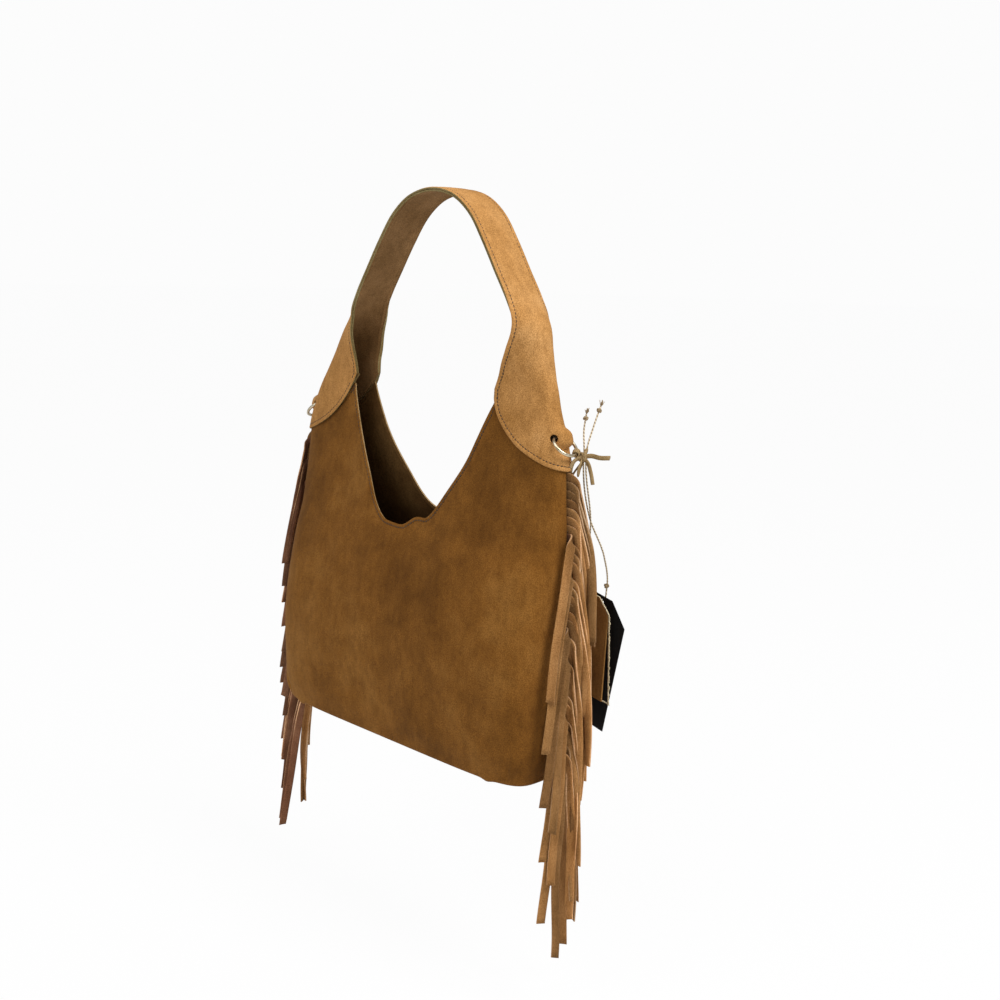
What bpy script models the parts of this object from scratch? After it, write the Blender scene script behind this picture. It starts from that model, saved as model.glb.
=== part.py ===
# Fringed suede shoulder bag, hanging by its strap.
# X runs across the bag, the front faces -Y, Z is up. The origin is under the highest point of the strap.
# Inside the functions, lengths are measured from the bag's middle and its base; place() moves them.

import math

import bmesh
import bpy
import numpy as np
from mathutils import Matrix, Vector

# Leather and gaps
PANEL_LEATHER = 0.0015
STRAP_LEATHER = 0.0016
LINING_LEATHER = 0.0015
FRINGE_LEATHER = 0.0011
SEAM_GAP = 0.0004
LAYER_GAP = 0.0004

# Body: half width, half depth and squareness of the closed outline, by height over the base
BODY_HALF_WIDTH = {
    0.0: 0.168, 0.03: 0.180, 0.10: 0.1815, 0.18: 0.183, 0.22: 0.183,
    0.26: 0.181, 0.285: 0.1795, 0.305: 0.1745, 0.32: 0.169, 0.35: 0.156,
}
BODY_HALF_DEPTH = {
    0.0: 0.047, 0.03: 0.057, 0.10: 0.059, 0.18: 0.049, 0.22: 0.0345,
    0.28: 0.0215, 0.32: 0.0175, 0.35: 0.0150,
}
BODY_SQUARENESS = {0.0: 6.0, 0.10: 5.0, 0.22: 3.2, 0.35: 3.0}
BASE_EDGE_RADIUS = 0.006
BASE_SEAM_GAP = 0.0002

# Neckline: height by distance from the middle
NECKLINE = {
    0.0: 0.2130, 0.02: 0.2146, 0.03: 0.2193, 0.04: 0.2290, 0.055: 0.2514,
    0.075: 0.2832, 0.095: 0.3274, 0.11: 0.3653,
}
RIM_HUMP_HEIGHT = 0.008
RIM_HUMP_CENTRE = 0.021
RIM_HUMP_WIDTH = 0.036
BACK_RIM_RISE = 0.005

# Tab of the strap: its lower edge, from the fold at the side (0) to the inner corner (1)
TAB_EDGE_ARC = {0.0: 0.0, 0.2: 0.016, 0.4: 0.032, 0.6: 0.0475, 0.75: 0.057, 0.87: 0.063, 0.95: 0.066, 1.0: 0.0668}
TAB_EDGE_HEIGHT = {
    0.0: 0.2835, 0.2: 0.287, 0.4: 0.293, 0.6: 0.302, 0.75: 0.312, 0.87: 0.322, 0.95: 0.329, 1.0: 0.336,
}
TAB_TOP = 0.35
TAB_TOP_ARC = 0.063
PANEL_UNDER_TAB = 0.012
LINING_EDGE_GAP = 0.0015

# Strap above the tab: x and z of its middle line, then how far the edges sit inside it,
# how much lower they sit, and half the width across
STRAP_LINE = [
    (0.1475, 0.367, 0.0465, 0.005, 0.0150), (0.1400, 0.382, 0.0360, 0.008, 0.0178),
    (0.1320, 0.397, 0.0245, 0.010, 0.0200), (0.1240, 0.409, 0.0145, 0.009, 0.0213),
    (0.1160, 0.419, 0.0070, 0.006, 0.0220), (0.1050, 0.431, 0.0025, 0.0025, 0.0220),
    (0.0880, 0.4545, 0.0011, 0.0009, 0.0220), (0.0705, 0.481, 0.0009, 0.0008, 0.0220),
    (0.0525, 0.5045, 0.0007, 0.0010, 0.0220), (0.0330, 0.5190, 0.0004, 0.0011, 0.0220),
    (0.0160, 0.5248, 0.0002, 0.0012, 0.0220),
]
STRAP_APEX = 0.5265
STRAP_CROWN = 0.0012
STRAP_HALF_WIDTH = 0.0220
STRAP_LEAN = {0.30: 0.0, 0.33: 0.002, 0.35: 0.006, 0.387: 0.014, 0.41: 0.020, 0.44: 0.020, 0.53: 0.0225}

# Fringe
STRIP_COUNT = 36
STRIP_PITCH = 0.0075
STRIP_WIDTH = 0.0067
STRIP_LENGTH = 0.148
STRIP_LENGTH_GROWTH = 0.020
STRIP_LENGTH_SPREAD = 0.006
FIRST_STRIP = 0.2735
MARGIN_INSIDE = 0.007
MARGIN_OUTSIDE = 0.001
STRIP_BEND_RADIUS = 0.0035
STRIP_TWIST_LENGTH = 0.0054
STRIP_SLOPE_NEAR = 0.185
STRIP_SLOPE_FAR = 0.085
STRIP_FLARE = 0.05
STRIP_SPLIT_LENGTH = 0.046
STRIP_SPLIT_HALF = 0.0042
FRONT_FAN = (-0.033, -0.008, -0.018)
BACK_FAN = (0.006, 0.011, 0.003)

# Rings
RING_RADIUS = 0.0115
RING_WIRE = 0.0015
RING_HOLE_HEIGHT = 0.312
RING_HOLE_SPREAD = 0.007
RING_HOLE_RADIUS = 0.0036
RING_PIVOT_OUT = 0.0002
RING_HANG = math.radians(42.0)

# Lace, twine and tags on the right ring
LACE_RADIUS = 0.0014
KNOT_RADIUS = 0.0044
TWINE_RADIUS = 0.0006
TAG_HOLE_RADIUS = 0.0023
CARD_SIZE = (0.063, 0.131, 0.0006)
CARD_CLIP = 0.020
SUEDE_TAG_SIZE = (0.046, 0.100, 0.0013)
SUEDE_TAG_CLIP = 0.013

STRAP_APEX_X = STRAP_LEAN[0.53]
STRAP_APEX_UNDERSIDE = STRAP_APEX - LINING_LEATHER


def clear_scene():
    for item in list(bpy.data.objects):
        bpy.data.objects.remove(item, do_unlink=True)


clear_scene()
bag = bpy.data.collections.new("fringed_suede_bag")
bpy.context.scene.collection.children.link(bag)
cutters = bpy.data.collections.new("cutters")
cutters.hide_render = True
bpy.context.scene.collection.children.link(cutters)


def along(knots, value):
    """A smooth curve through the knots that never overshoots them."""
    xs = np.array(sorted(knots))
    ys = np.array([knots[x] for x in xs])
    steps = np.diff(xs)
    rates = np.diff(ys) / steps
    slopes = np.zeros(len(xs))
    slopes[0] = rates[0]
    slopes[-1] = rates[-1]
    for i in range(1, len(xs) - 1):
        if rates[i - 1] * rates[i] > 0:
            slopes[i] = 2 * rates[i - 1] * rates[i] / (rates[i - 1] + rates[i])
    value = np.asarray(value, dtype=float)
    i = np.clip(np.searchsorted(xs, value) - 1, 0, len(steps) - 1)
    t = (value - xs[i]) / steps[i]
    curve = (
        (2 * t**3 - 3 * t**2 + 1) * ys[i]
        + (t**3 - 2 * t**2 + t) * steps[i] * slopes[i]
        + (3 * t**2 - 2 * t**3) * ys[i + 1]
        + (t**3 - t**2) * steps[i] * slopes[i + 1]
    )
    below = ys[0] + (value - xs[0]) * slopes[0]
    above = ys[-1] + (value - xs[-1]) * slopes[-1]
    return np.where(value < xs[0], below, np.where(value > xs[-1], above, curve))


def place(x, y, z):
    """From the bag's middle and base to the origin under the strap."""
    lean = float(along(STRAP_LEAN, z)) if z > 0.30 else 0.0
    return Vector((x + lean - STRAP_APEX_X, y, z - STRAP_APEX_UNDERSIDE))


def half_outline(height):
    """The outline from the side to the middle of the front, with the distance run along it."""
    width = float(along(BODY_HALF_WIDTH, height))
    depth = float(along(BODY_HALF_DEPTH, height))
    power = float(along(BODY_SQUARENESS, height))
    angle = np.linspace(0.0, math.pi / 2, 241)
    reach = (np.cos(angle) ** power + np.sin(angle) ** power) ** (-1 / power)
    x = width * np.cos(angle) * reach
    y = depth * np.sin(angle) * reach
    run = np.concatenate([[0.0], np.cumsum(np.hypot(np.diff(x), np.diff(y)))])
    return x, y, run


def outline_point(height, distance):
    """The point at this distance from the side fold, along the outline."""
    x, y, run = half_outline(height)
    return float(np.interp(distance, run, x)), float(np.interp(distance, run, y))


def tab_edge_height(distance):
    """Height of the tab's lower edge at this distance from the side fold."""
    share = np.linspace(0.0, 1.0, 81)
    return float(np.interp(distance, along(TAB_EDGE_ARC, share), along(TAB_EDGE_HEIGHT, share)))


def rim_hump(x):
    share = abs(x - RIM_HUMP_CENTRE) / (RIM_HUMP_WIDTH / 2)
    return RIM_HUMP_HEIGHT * (0.5 + 0.5 * math.cos(math.pi * share)) if share < 1 else 0.0


def panel_top(share, side, front):
    """Height of a panel's cut edge on the column that keeps this share of the outline."""
    low, high = 0.15, 0.37
    for _ in range(34):
        height = (low + high) / 2
        x, y, run = half_outline(height)
        distance = share * run[-1]
        across = float(np.interp(distance, run, x))
        neck = float(along(NECKLINE, across))
        if front:
            neck += rim_hump(side * across)
        else:
            neck += BACK_RIM_RISE * max(0.0, 1 - across / 0.05)
        if height < min(neck, tab_edge_height(distance) + PANEL_UNDER_TAB):
            low = height
        else:
            high = height
    return (low + high) / 2


def mesh_object(name, verts, faces, colour, roughness, metallic=0.0, collection=None):
    mesh = bpy.data.meshes.new(name)
    mesh.from_pydata([tuple(v) for v in verts], [], faces)
    mesh.update()
    item = bpy.data.objects.new(name, mesh)
    (collection or bag).objects.link(item)
    if collection is None:
        finish(item, colour, roughness, metallic)
    else:
        item.hide_render = True
        item.display_type = "WIRE"
    return item


def finish(item, colour, roughness, metallic=0.0):
    material = bpy.data.materials.new(item.name)
    material.use_nodes = True
    shader = material.node_tree.nodes["Principled BSDF"]
    shader.inputs["Base Color"].default_value = (*colour, 1.0)
    shader.inputs["Roughness"].default_value = roughness
    shader.inputs["Metallic"].default_value = metallic
    material.diffuse_color = (*colour, 1.0)
    item.data.materials.clear()
    item.data.materials.append(material)


def skin(rows, flip):
    """Faces between rows of (position across, point); a row may have fewer points than the next."""
    verts = []
    faces = []
    last = None
    for row in rows:
        numbers = {}
        for key, point in row:
            numbers[key] = len(verts)
            verts.append(point)
        if last:
            shared = sorted(set(last) & set(numbers))
            for k0, k1 in zip(shared, shared[1:]):
                low = [last[k] for k in sorted(last) if k0 <= k <= k1]
                high = [numbers[k] for k in sorted(numbers) if k0 <= k <= k1]
                face = low + high[::-1]
                faces.append(tuple(face[::-1] if flip else face))
        last = numbers
    return verts, faces


def solidify(item, thickness, offset):
    shell = item.modifiers.new("leather", "SOLIDIFY")
    shell.thickness = thickness
    shell.offset = offset
    shell.use_even_offset = False
    shell.use_rim = True
    shell.use_quality_normals = True


SUEDE = (0.36, 0.19, 0.06)
STRAP_SUEDE = (0.50, 0.28, 0.11)

# Panels: each is the face, the wrap to the side seams and half of the base, in one piece
BASE_SHARES = (0.0, 0.030, 0.10, 0.16, 0.20, 0.24, 0.28, 0.34, 0.45, 0.70, 1.0)
FOLD_SHARES = (0.0, 0.014, 0.030, 0.047, 0.068, 0.10, 0.16, 0.24, 0.34, 0.45, 0.57, 0.70, 0.85, 1.0)
NECK_SHARES = (0.395, 0.49, 0.53, 0.61, 0.655, 0.74, 0.775, 0.81, 0.885, 0.92, 0.96)
UP_ROWS = 11
FIRST_FOLD_ROW = 5
FIRST_NECK_ROW = 7
seam_inset = FRINGE_LEATHER / 2 + SEAM_GAP


def panel(name, front):
    facing = -1.0 if front else 1.0

    def columns(shares):
        shares = sorted(shares)
        return [(-1, s) for s in shares] + [(1, s) for s in reversed(shares[:-1])]

    every = sorted(set(BASE_SHARES + FOLD_SHARES + NECK_SHARES))
    tops = {column: panel_top(column[1], column[0], front) for column in columns(every)}
    base_reach = float(along(BODY_HALF_WIDTH, BASE_EDGE_RADIUS)) - BASE_EDGE_RADIUS
    rows = []

    def edge(side, share, height, inset):
        x, y, run = half_outline(height)
        distance = seam_inset + share * (run[-1] - seam_inset)
        px = float(np.interp(distance, run, x)) * (x[0] - inset) / x[0]
        py = max(seam_inset, float(np.interp(distance, run, y)) * (y[-1] - inset) / y[-1])
        return side * px, py

    def add_row(shares, point):
        rows.append([(side * (1 - share), place(*point(side, share))) for side, share in columns(shares)])

    for blend in (0.0, 0.6):

        def base_point(side, share):
            ex, ey = edge(side, share, BASE_EDGE_RADIUS, BASE_EDGE_RADIUS)
            middle = side * (1 - share) * base_reach
            y = BASE_SEAM_GAP + blend * (ey - BASE_SEAM_GAP)
            return middle + blend * (ex - middle), facing * y, 0.0

        add_row(BASE_SHARES, base_point)
    for step in range(4):
        turn = step * math.pi / 6

        def round_point(side, share):
            x, y = edge(side, share, BASE_EDGE_RADIUS, BASE_EDGE_RADIUS * (1 - math.sin(turn)))
            return x, facing * y, BASE_EDGE_RADIUS * (1 - math.cos(turn))

        add_row(BASE_SHARES, round_point)
    for row in range(1, UP_ROWS + 1):

        def wall_point(side, share):
            rise = (row / UP_ROWS) ** 0.92
            height = BASE_EDGE_RADIUS + rise * (tops[(side, share)] - BASE_EDGE_RADIUS)
            x, y = edge(side, share, height, 0.0)
            return x, facing * y, height

        if row >= FIRST_NECK_ROW:
            add_row(FOLD_SHARES + NECK_SHARES, wall_point)
        else:
            add_row(FOLD_SHARES if row >= FIRST_FOLD_ROW else BASE_SHARES, wall_point)
    verts, faces = skin(rows, not front)
    item = mesh_object(name, verts, faces, SUEDE, 0.9)
    solidify(item, PANEL_LEATHER, -1.0)
    return item


front_panel = panel("front_panel", True)
back_panel = panel("back_panel", False)

# Strap: a loft from one tab over the top to the other, in two layers
ACROSS_SHARES = (0.0, 0.055, 0.10, 0.15, 0.21, 0.30, 0.48, 0.74, 1.0)
BAND_SHARES = (0.0, 0.48, 0.74, 1.0)
FIRST_BAND_ROW = 7
TAB_ROWS = 5


def fold_section(fold_share, depth, half_width, fractions):
    """Depth behind the middle line and width out from it, at equal shares of the way to the edge."""
    power = 3.0
    angle = np.linspace(0.0, math.pi / 2, 401)
    reach = (np.cos(angle) ** power + np.sin(angle) ** power) ** (-1 / power)
    x = np.cos(angle) * reach
    y = np.sin(angle) * reach
    keep = x >= fold_share
    inward = (1 - x[keep]) / (1 - fold_share) * depth
    out = y[keep] / y[keep][-1] * half_width
    run = np.concatenate([[0.0], np.cumsum(np.hypot(np.diff(inward), np.diff(out)))])
    run /= run[-1]
    return np.interp(fractions, run, inward), np.interp(fractions, run, out)


def strap_half(edge_rise):
    """Rows from the tab's lower edge to the apex; each row has (share across, point), front first."""
    rows = []

    def both_sides(shares, half):
        row = [(-share, (x, -y, z)) for share, (x, y, z) in zip(shares, half)]
        return sorted(row + [(share, point) for share, point in zip(shares, half) if share > 0])

    for step in range(TAB_ROWS + 1):
        down = 1 - step / TAB_ROWS
        half = []
        for share in ACROSS_SHARES:
            low = min(float(along(TAB_EDGE_HEIGHT, share)) + edge_rise, TAB_TOP - 0.0006)
            low_arc = float(along(TAB_EDGE_ARC, share))
            height = TAB_TOP + down * (low - TAB_TOP)
            distance = TAB_TOP_ARC * share + down * (low_arc - TAB_TOP_ARC * share)
            x, y = outline_point(height, distance)
            half.append((x, y, height))
        rows.append(both_sides(ACROSS_SHARES, half))
    fold_shares = [0.70, 0.76, 0.83, 0.89, 0.94, 0.97] + [0.98] * len(STRAP_LINE)
    for number, (x, z, depth, drop, width) in enumerate(STRAP_LINE):
        shares = BAND_SHARES if number >= FIRST_BAND_ROW else ACROSS_SHARES
        inward, out = fold_section(fold_shares[number], 1.0, width, shares)
        half = [(x - depth * d, y, z - drop * d) for d, y in zip(inward, out)]
        rows.append(both_sides(shares, half))
    return rows


def strap_layer(name, edge_rise, colour):
    right = strap_half(edge_rise)
    left = [[(share, (-x, y, z)) for share, (x, y, z) in row] for row in right]
    inward, out = fold_section(0.98, 1.0, STRAP_HALF_WIDTH, BAND_SHARES)
    apex = [(-share, (0.0, -y, STRAP_APEX - STRAP_CROWN * d)) for share, d, y in zip(BAND_SHARES, inward, out)]
    apex = sorted(apex + [(-share, (0.0, -y, z)) for share, (x, y, z) in apex[1:]])
    rows = [[(share, place(*point)) for share, point in row] for row in left + [apex] + right[::-1]]
    verts, faces = skin(rows, True)
    return mesh_object(name, verts, faces, colour, 0.9)


strap_outer = strap_layer("strap_outer", 0.0, STRAP_SUEDE)
solidify(strap_outer, STRAP_LEATHER, 1.0 + 2.0 * LAYER_GAP / STRAP_LEATHER)
strap_lining = strap_layer("strap_lining", PANEL_UNDER_TAB + LINING_EDGE_GAP, SUEDE)
solidify(strap_lining, LINING_LEATHER, -1.0)

# Ring holes: two in each tab's fold, cut through both layers square to the leather
outline_x, outline_y, outline_run = half_outline(RING_HOLE_HEIGHT)
hole_x = float(np.interp(RING_HOLE_SPREAD, outline_y, outline_x))
near_x = float(np.interp(RING_HOLE_SPREAD - 0.001, outline_y, outline_x))
far_x = float(np.interp(RING_HOLE_SPREAD + 0.001, outline_y, outline_x))
hole_turn = math.atan2(near_x - far_x, 0.002)


def ring_hole(side, facing):
    name = "ring_hole_" + ("right" if side > 0 else "left") + ("_front" if facing < 0 else "_back")
    bpy.ops.mesh.primitive_cylinder_add(vertices=16, radius=RING_HOLE_RADIUS, depth=0.010)
    cutter = bpy.context.object
    cutter.name = name
    for other in list(cutter.users_collection):
        other.objects.unlink(cutter)
    cutters.objects.link(cutter)
    cutter.hide_render = True
    cutter.display_type = "WIRE"
    normal = Vector((side * math.cos(hole_turn), facing * math.sin(hole_turn), 0.0))
    cutter.rotation_mode = "QUATERNION"
    cutter.rotation_quaternion = normal.to_track_quat("Z", "Y")
    cutter.location = place(side * hole_x, facing * RING_HOLE_SPREAD, RING_HOLE_HEIGHT)
    return cutter


for hole_side in (-1, 1):
    for hole_facing in (-1, 1):
        hole = ring_hole(hole_side, hole_facing)
        for layer in (strap_outer, strap_lining):
            cut = layer.modifiers.new(hole.name, "BOOLEAN")
            cut.operation = "DIFFERENCE"
            cut.solver = "EXACT"
            cut.object = hole


# Rings: each hangs in its two holes and swings about the line through them
def ring(name, side):
    bpy.ops.mesh.primitive_torus_add(
        major_radius=RING_RADIUS, minor_radius=RING_WIRE, major_segments=24, minor_segments=8
    )
    item = bpy.context.object
    item.name = name
    item.data.name = name
    for other in list(item.users_collection):
        other.objects.unlink(item)
    bag.objects.link(item)
    reach = math.sqrt(RING_RADIUS**2 - RING_HOLE_SPREAD**2)
    item.data.transform(Matrix.Translation((reach, 0.0, 0.0)))
    item.location = place(side * (hole_x + RING_PIVOT_OUT), 0.0, RING_HOLE_HEIGHT)
    item.rotation_euler = (0.0, RING_HANG if side > 0 else math.pi - RING_HANG, 0.0)
    finish(item, (0.62, 0.55, 0.42), 0.3, 1.0)
    return item


ring_right = ring("ring_right", 1)
ring_left = ring("ring_left", -1)


# Fringe: a margin held in the side seam, cut into strips that turn at the root and hang
def strip_rise(length):
    """How far a strip stands off its root when this much of it has passed the bend."""
    near = min(length, STRIP_SPLIT_LENGTH) * STRIP_SLOPE_NEAR
    return near + max(0.0, length - STRIP_SPLIT_LENGTH) * STRIP_SLOPE_FAR


def strip_rows(index):
    """Centre, half-width direction and outward direction of each cross-section, from the root."""
    root_z = FIRST_STRIP - index * STRIP_PITCH
    root_x = float(along(BODY_HALF_WIDTH, root_z)) + MARGIN_OUTSIDE
    flare = STRIP_FLARE * min(1.0, max(0.0, (10 - index) / 4))
    front = index % 2 == 1
    fan = (FRONT_FAN if front else BACK_FAN)[(index // 2) % 3]
    length = STRIP_LENGTH + STRIP_LENGTH_GROWTH * index / (STRIP_COUNT - 1)
    length += STRIP_LENGTH_SPREAD * math.sin(2.4 * index + 0.7)
    bend = math.pi / 2 - math.atan(STRIP_SLOPE_NEAR)
    bend_end = STRIP_TWIST_LENGTH + STRIP_BEND_RADIUS * bend
    split_end = STRIP_SPLIT_LENGTH - 0.010
    split = -STRIP_SPLIT_HALF if front else STRIP_SPLIT_HALF

    def sideways(s):
        share = min(1.0, max(0.0, (s - bend_end) / (split_end - bend_end)))
        run = max(0.0, s - split_end) / (STRIP_LENGTH - split_end)
        return split * share * share * (3 - 2 * share) + fan * run

    rows = []
    third = STRIP_TWIST_LENGTH / 3
    stops = [0.0, third, 2 * third, STRIP_TWIST_LENGTH, (STRIP_TWIST_LENGTH + bend_end) / 2, bend_end]
    stops += [split_end, STRIP_SPLIT_LENGTH, length]
    for s in stops:
        turn = min(bend, max(0.0, s - STRIP_TWIST_LENGTH) / STRIP_BEND_RADIUS)
        down = max(0.0, s - bend_end)
        x = min(s, STRIP_TWIST_LENGTH) + STRIP_BEND_RADIUS * math.sin(turn) + strip_rise(down) + flare * down
        z = -STRIP_BEND_RADIUS * (1 - math.cos(turn)) - down
        up = Vector((math.sin(turn), 0.0, math.cos(turn)))
        twist = math.pi / 2 * min(1.0, s / STRIP_TWIST_LENGTH)
        wide = up * math.cos(twist) + Vector((0.0, -1.0, 0.0)) * math.sin(twist)
        flow = Vector((math.cos(turn), 0.0, -math.sin(turn)))
        thin = flow.cross(wide).normalized()
        rows.append((Vector((root_x + x, sideways(s), root_z + z)), wide, thin))
    return rows


def fringe(name, side):
    half = FRINGE_LEATHER / 2
    verts = []
    faces = []

    def add(point):
        verts.append(place(side * point.x, point.y, point.z))
        return len(verts) - 1

    heights = []
    for index in range(STRIP_COUNT):
        middle = FIRST_STRIP - index * STRIP_PITCH
        heights += [middle + STRIP_WIDTH / 2, middle - STRIP_WIDTH / 2]
    levels = []
    for height in heights:
        edge_x = float(along(BODY_HALF_WIDTH, height))
        root = FIRST_STRIP - round((FIRST_STRIP - height) / STRIP_PITCH) * STRIP_PITCH
        outer_x = float(along(BODY_HALF_WIDTH, root)) + MARGIN_OUTSIDE
        inner_x = edge_x - MARGIN_INSIDE
        levels.append(
            [
                add(Vector((inner_x, -half, height))),
                add(Vector((outer_x, -half, height))),
                add(Vector((outer_x, half, height))),
                add(Vector((inner_x, half, height))),
            ]
        )
    faces.append(tuple(levels[0]))
    faces.append(tuple(reversed(levels[-1])))
    for k in range(len(levels) - 1):
        a, b = levels[k], levels[k + 1]
        faces.append((a[0], b[0], b[1], a[1]))
        faces.append((a[2], b[2], b[3], a[3]))
        faces.append((a[3], b[3], b[0], a[0]))
        if k % 2 == 1:
            faces.append((a[1], b[1], b[2], a[2]))
    for index in range(STRIP_COUNT):
        top, low = levels[2 * index], levels[2 * index + 1]
        ring_now = [top[1], top[2], low[2], low[1]]
        for centre, wide, thin in strip_rows(index)[1:]:
            w = wide * (STRIP_WIDTH / 2)
            t = thin * half
            ring_next = [add(centre + w - t), add(centre + w + t), add(centre - w + t), add(centre - w - t)]
            for c in range(4):
                d = (c + 1) % 4
                if c == 3:
                    faces.append((ring_now[c], ring_now[d], ring_next[c]))
                    faces.append((ring_now[d], ring_next[d], ring_next[c]))
                else:
                    faces.append((ring_now[c], ring_now[d], ring_next[d]))
                    faces.append((ring_now[c], ring_next[d], ring_next[c]))
            ring_now = ring_next
        faces.append(tuple(ring_now))
    item = mesh_object(name, verts, faces, SUEDE, 0.9)
    shape = bmesh.new()
    shape.from_mesh(item.data)
    bmesh.ops.recalc_face_normals(shape, faces=shape.faces)
    shape.to_mesh(item.data)
    shape.free()
    return item


fringe_right = fringe("fringe_right", 1)
fringe_left = fringe("fringe_left", -1)


# Lace on the right ring: a loop round the wire, a knot beyond it and two ends
def tube(name, points, radius, resolution, collection):
    curve = bpy.data.curves.new(name, "CURVE")
    curve.dimensions = "3D"
    curve.bevel_depth = radius
    curve.bevel_resolution = resolution
    curve.use_fill_caps = True
    spline = curve.splines.new("POLY")
    spline.points.add(len(points) - 1)
    for point, co in zip(spline.points, points):
        point.co = (*co, 1.0)
    item = bpy.data.objects.new(name, curve)
    collection.objects.link(item)
    return item


def smooth_route(route, count):
    """Points on a smooth curve through the route, closer together where it turns."""
    route = [np.array(p, dtype=float) for p in route]
    runs = [0.0]
    for a, b in zip(route, route[1:]):
        runs.append(runs[-1] + float(np.linalg.norm(b - a)))
    fine = np.linspace(0.0, runs[-1], count * 8)
    dense = np.stack([catmull(runs, [p[k] for p in route], fine) for k in range(3)], axis=1)
    legs = np.diff(dense, axis=0)
    lengths = np.linalg.norm(legs, axis=1)
    heads = legs / lengths[:, None]
    turns = np.arccos(np.clip(np.sum(heads[1:] * heads[:-1], axis=1), -1.0, 1.0))
    effort = lengths / (count * 0.010)
    effort[1:] += turns
    run = np.concatenate([[0.0], np.cumsum(effort)])
    even = np.linspace(0.0, run[-1], count)
    return [Vector([float(np.interp(s, run, dense[:, k])) for k in range(3)]) for s in even]


def catmull(stops, values, at):
    stops = np.array(stops)
    values = np.array(values)
    slopes = np.gradient(values, stops)
    i = np.clip(np.searchsorted(stops, at) - 1, 0, len(stops) - 2)
    step = stops[i + 1] - stops[i]
    t = (at - stops[i]) / step
    return (
        (2 * t**3 - 3 * t**2 + 1) * values[i]
        + (t**3 - 2 * t**2 + t) * step * slopes[i]
        + (3 * t**2 - 2 * t**3) * values[i + 1]
        + (t**3 - t**2) * step * slopes[i + 1]
    )


ring_reach = math.sqrt(RING_RADIUS**2 - RING_HOLE_SPREAD**2)
ring_out = Vector((math.cos(RING_HANG), 0.0, -math.sin(RING_HANG)))
ring_normal = Vector((math.sin(RING_HANG), 0.0, math.cos(RING_HANG)))
ring_axis_point = place(hole_x + RING_PIVOT_OUT, 0.0, RING_HOLE_HEIGHT)
ring_centre = ring_axis_point + ring_out * ring_reach
knot_turn = math.radians(38.0)
knot_radial = ring_out * math.cos(knot_turn) + Vector((0.0, 1.0, 0.0)) * math.sin(knot_turn)
wire_point = ring_centre + knot_radial * RING_RADIUS
loop_radius = RING_WIRE + 0.0004 + LACE_RADIUS
knot_centre = wire_point + knot_radial * (loop_radius + KNOT_RADIUS * 0.75)


def lace():
    loop = []
    for step in range(12):
        turn = 2 * math.pi * step / 12
        loop.append(wire_point + (knot_radial * math.cos(turn) + ring_normal * math.sin(turn)) * loop_radius)
    loop_tube = tube("lace_loop", loop, LACE_RADIUS, 2, cutters)
    loop_tube.data.splines[0].use_cyclic_u = True
    long_end = [knot_centre, knot_centre + Vector((0.006, 0.009, -0.001)), knot_centre + Vector((0.011, 0.023, -0.0035))]
    short_end = [knot_centre, knot_centre + Vector((0.004, 0.004, -0.009)), knot_centre + Vector((0.007, 0.006, -0.024))]
    ends = [
        tube("lace_long_end", smooth_route(long_end, 8), LACE_RADIUS * 1.25, 2, cutters),
        tube("lace_short_end", smooth_route(short_end, 8), LACE_RADIUS * 1.15, 2, cutters),
    ]
    bpy.ops.mesh.primitive_uv_sphere_add(segments=14, ring_count=8, radius=KNOT_RADIUS)
    knot = bpy.context.object
    knot.name = "ring_lace"
    knot.data.name = "ring_lace"
    for other in list(knot.users_collection):
        other.objects.unlink(knot)
    bag.objects.link(knot)
    knot.scale = (1.0, 1.15, 0.9)
    knot.location = knot_centre
    for piece in [loop_tube] + ends:
        graph = bpy.context.evaluated_depsgraph_get()
        mesh = bpy.data.meshes.new_from_object(piece.evaluated_get(graph))
        shape = bmesh.new()
        shape.from_mesh(mesh)
        bmesh.ops.remove_doubles(shape, verts=shape.verts, dist=0.00001)
        bmesh.ops.recalc_face_normals(shape, faces=shape.faces)
        shape.to_mesh(mesh)
        shape.free()
        solid = bpy.data.objects.new(piece.name + "_solid", mesh)
        cutters.objects.link(solid)
        solid.hide_render = True
        solid.display_type = "WIRE"
        piece.hide_render = True
        join = knot.modifiers.new(piece.name, "BOOLEAN")
        join.operation = "UNION"
        join.solver = "EXACT"
        join.object = solid
    finish(knot, (0.40, 0.27, 0.15), 0.85)
    return knot


ring_lace = lace()


# Tags: flat pieces with clipped top corners and a round hole, hung from the twine
def tag(name, top_centre, across, down, size, clip, colour):
    width, height, thickness = size
    outline = [
        (-width / 2 + clip, 0.0), (width / 2 - clip, 0.0), (width / 2, -clip),
        (width / 2, -height), (-width / 2, -height), (-width / 2, -clip),
    ]
    normal = across.cross(down).normalized()
    verts = [top_centre + across * x - down * z for x, z in outline]
    item = mesh_object(name, verts, [tuple(range(len(verts)))], colour, 0.85)
    solidify(item, thickness, 0.0)
    bpy.ops.mesh.primitive_cylinder_add(vertices=16, radius=TAG_HOLE_RADIUS, depth=0.02)
    cutter = bpy.context.object
    cutter.name = name + "_hole"
    for other in list(cutter.users_collection):
        other.objects.unlink(cutter)
    cutters.objects.link(cutter)
    cutter.hide_render = True
    cutter.display_type = "WIRE"
    cutter.rotation_mode = "QUATERNION"
    cutter.rotation_quaternion = normal.to_track_quat("Z", "Y")
    cutter.location = top_centre + down * TAG_HOLE_DROP
    cut = item.modifiers.new("hole", "BOOLEAN")
    cut.operation = "DIFFERENCE"
    cut.solver = "EXACT"
    cut.object = cutter
    return item


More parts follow.
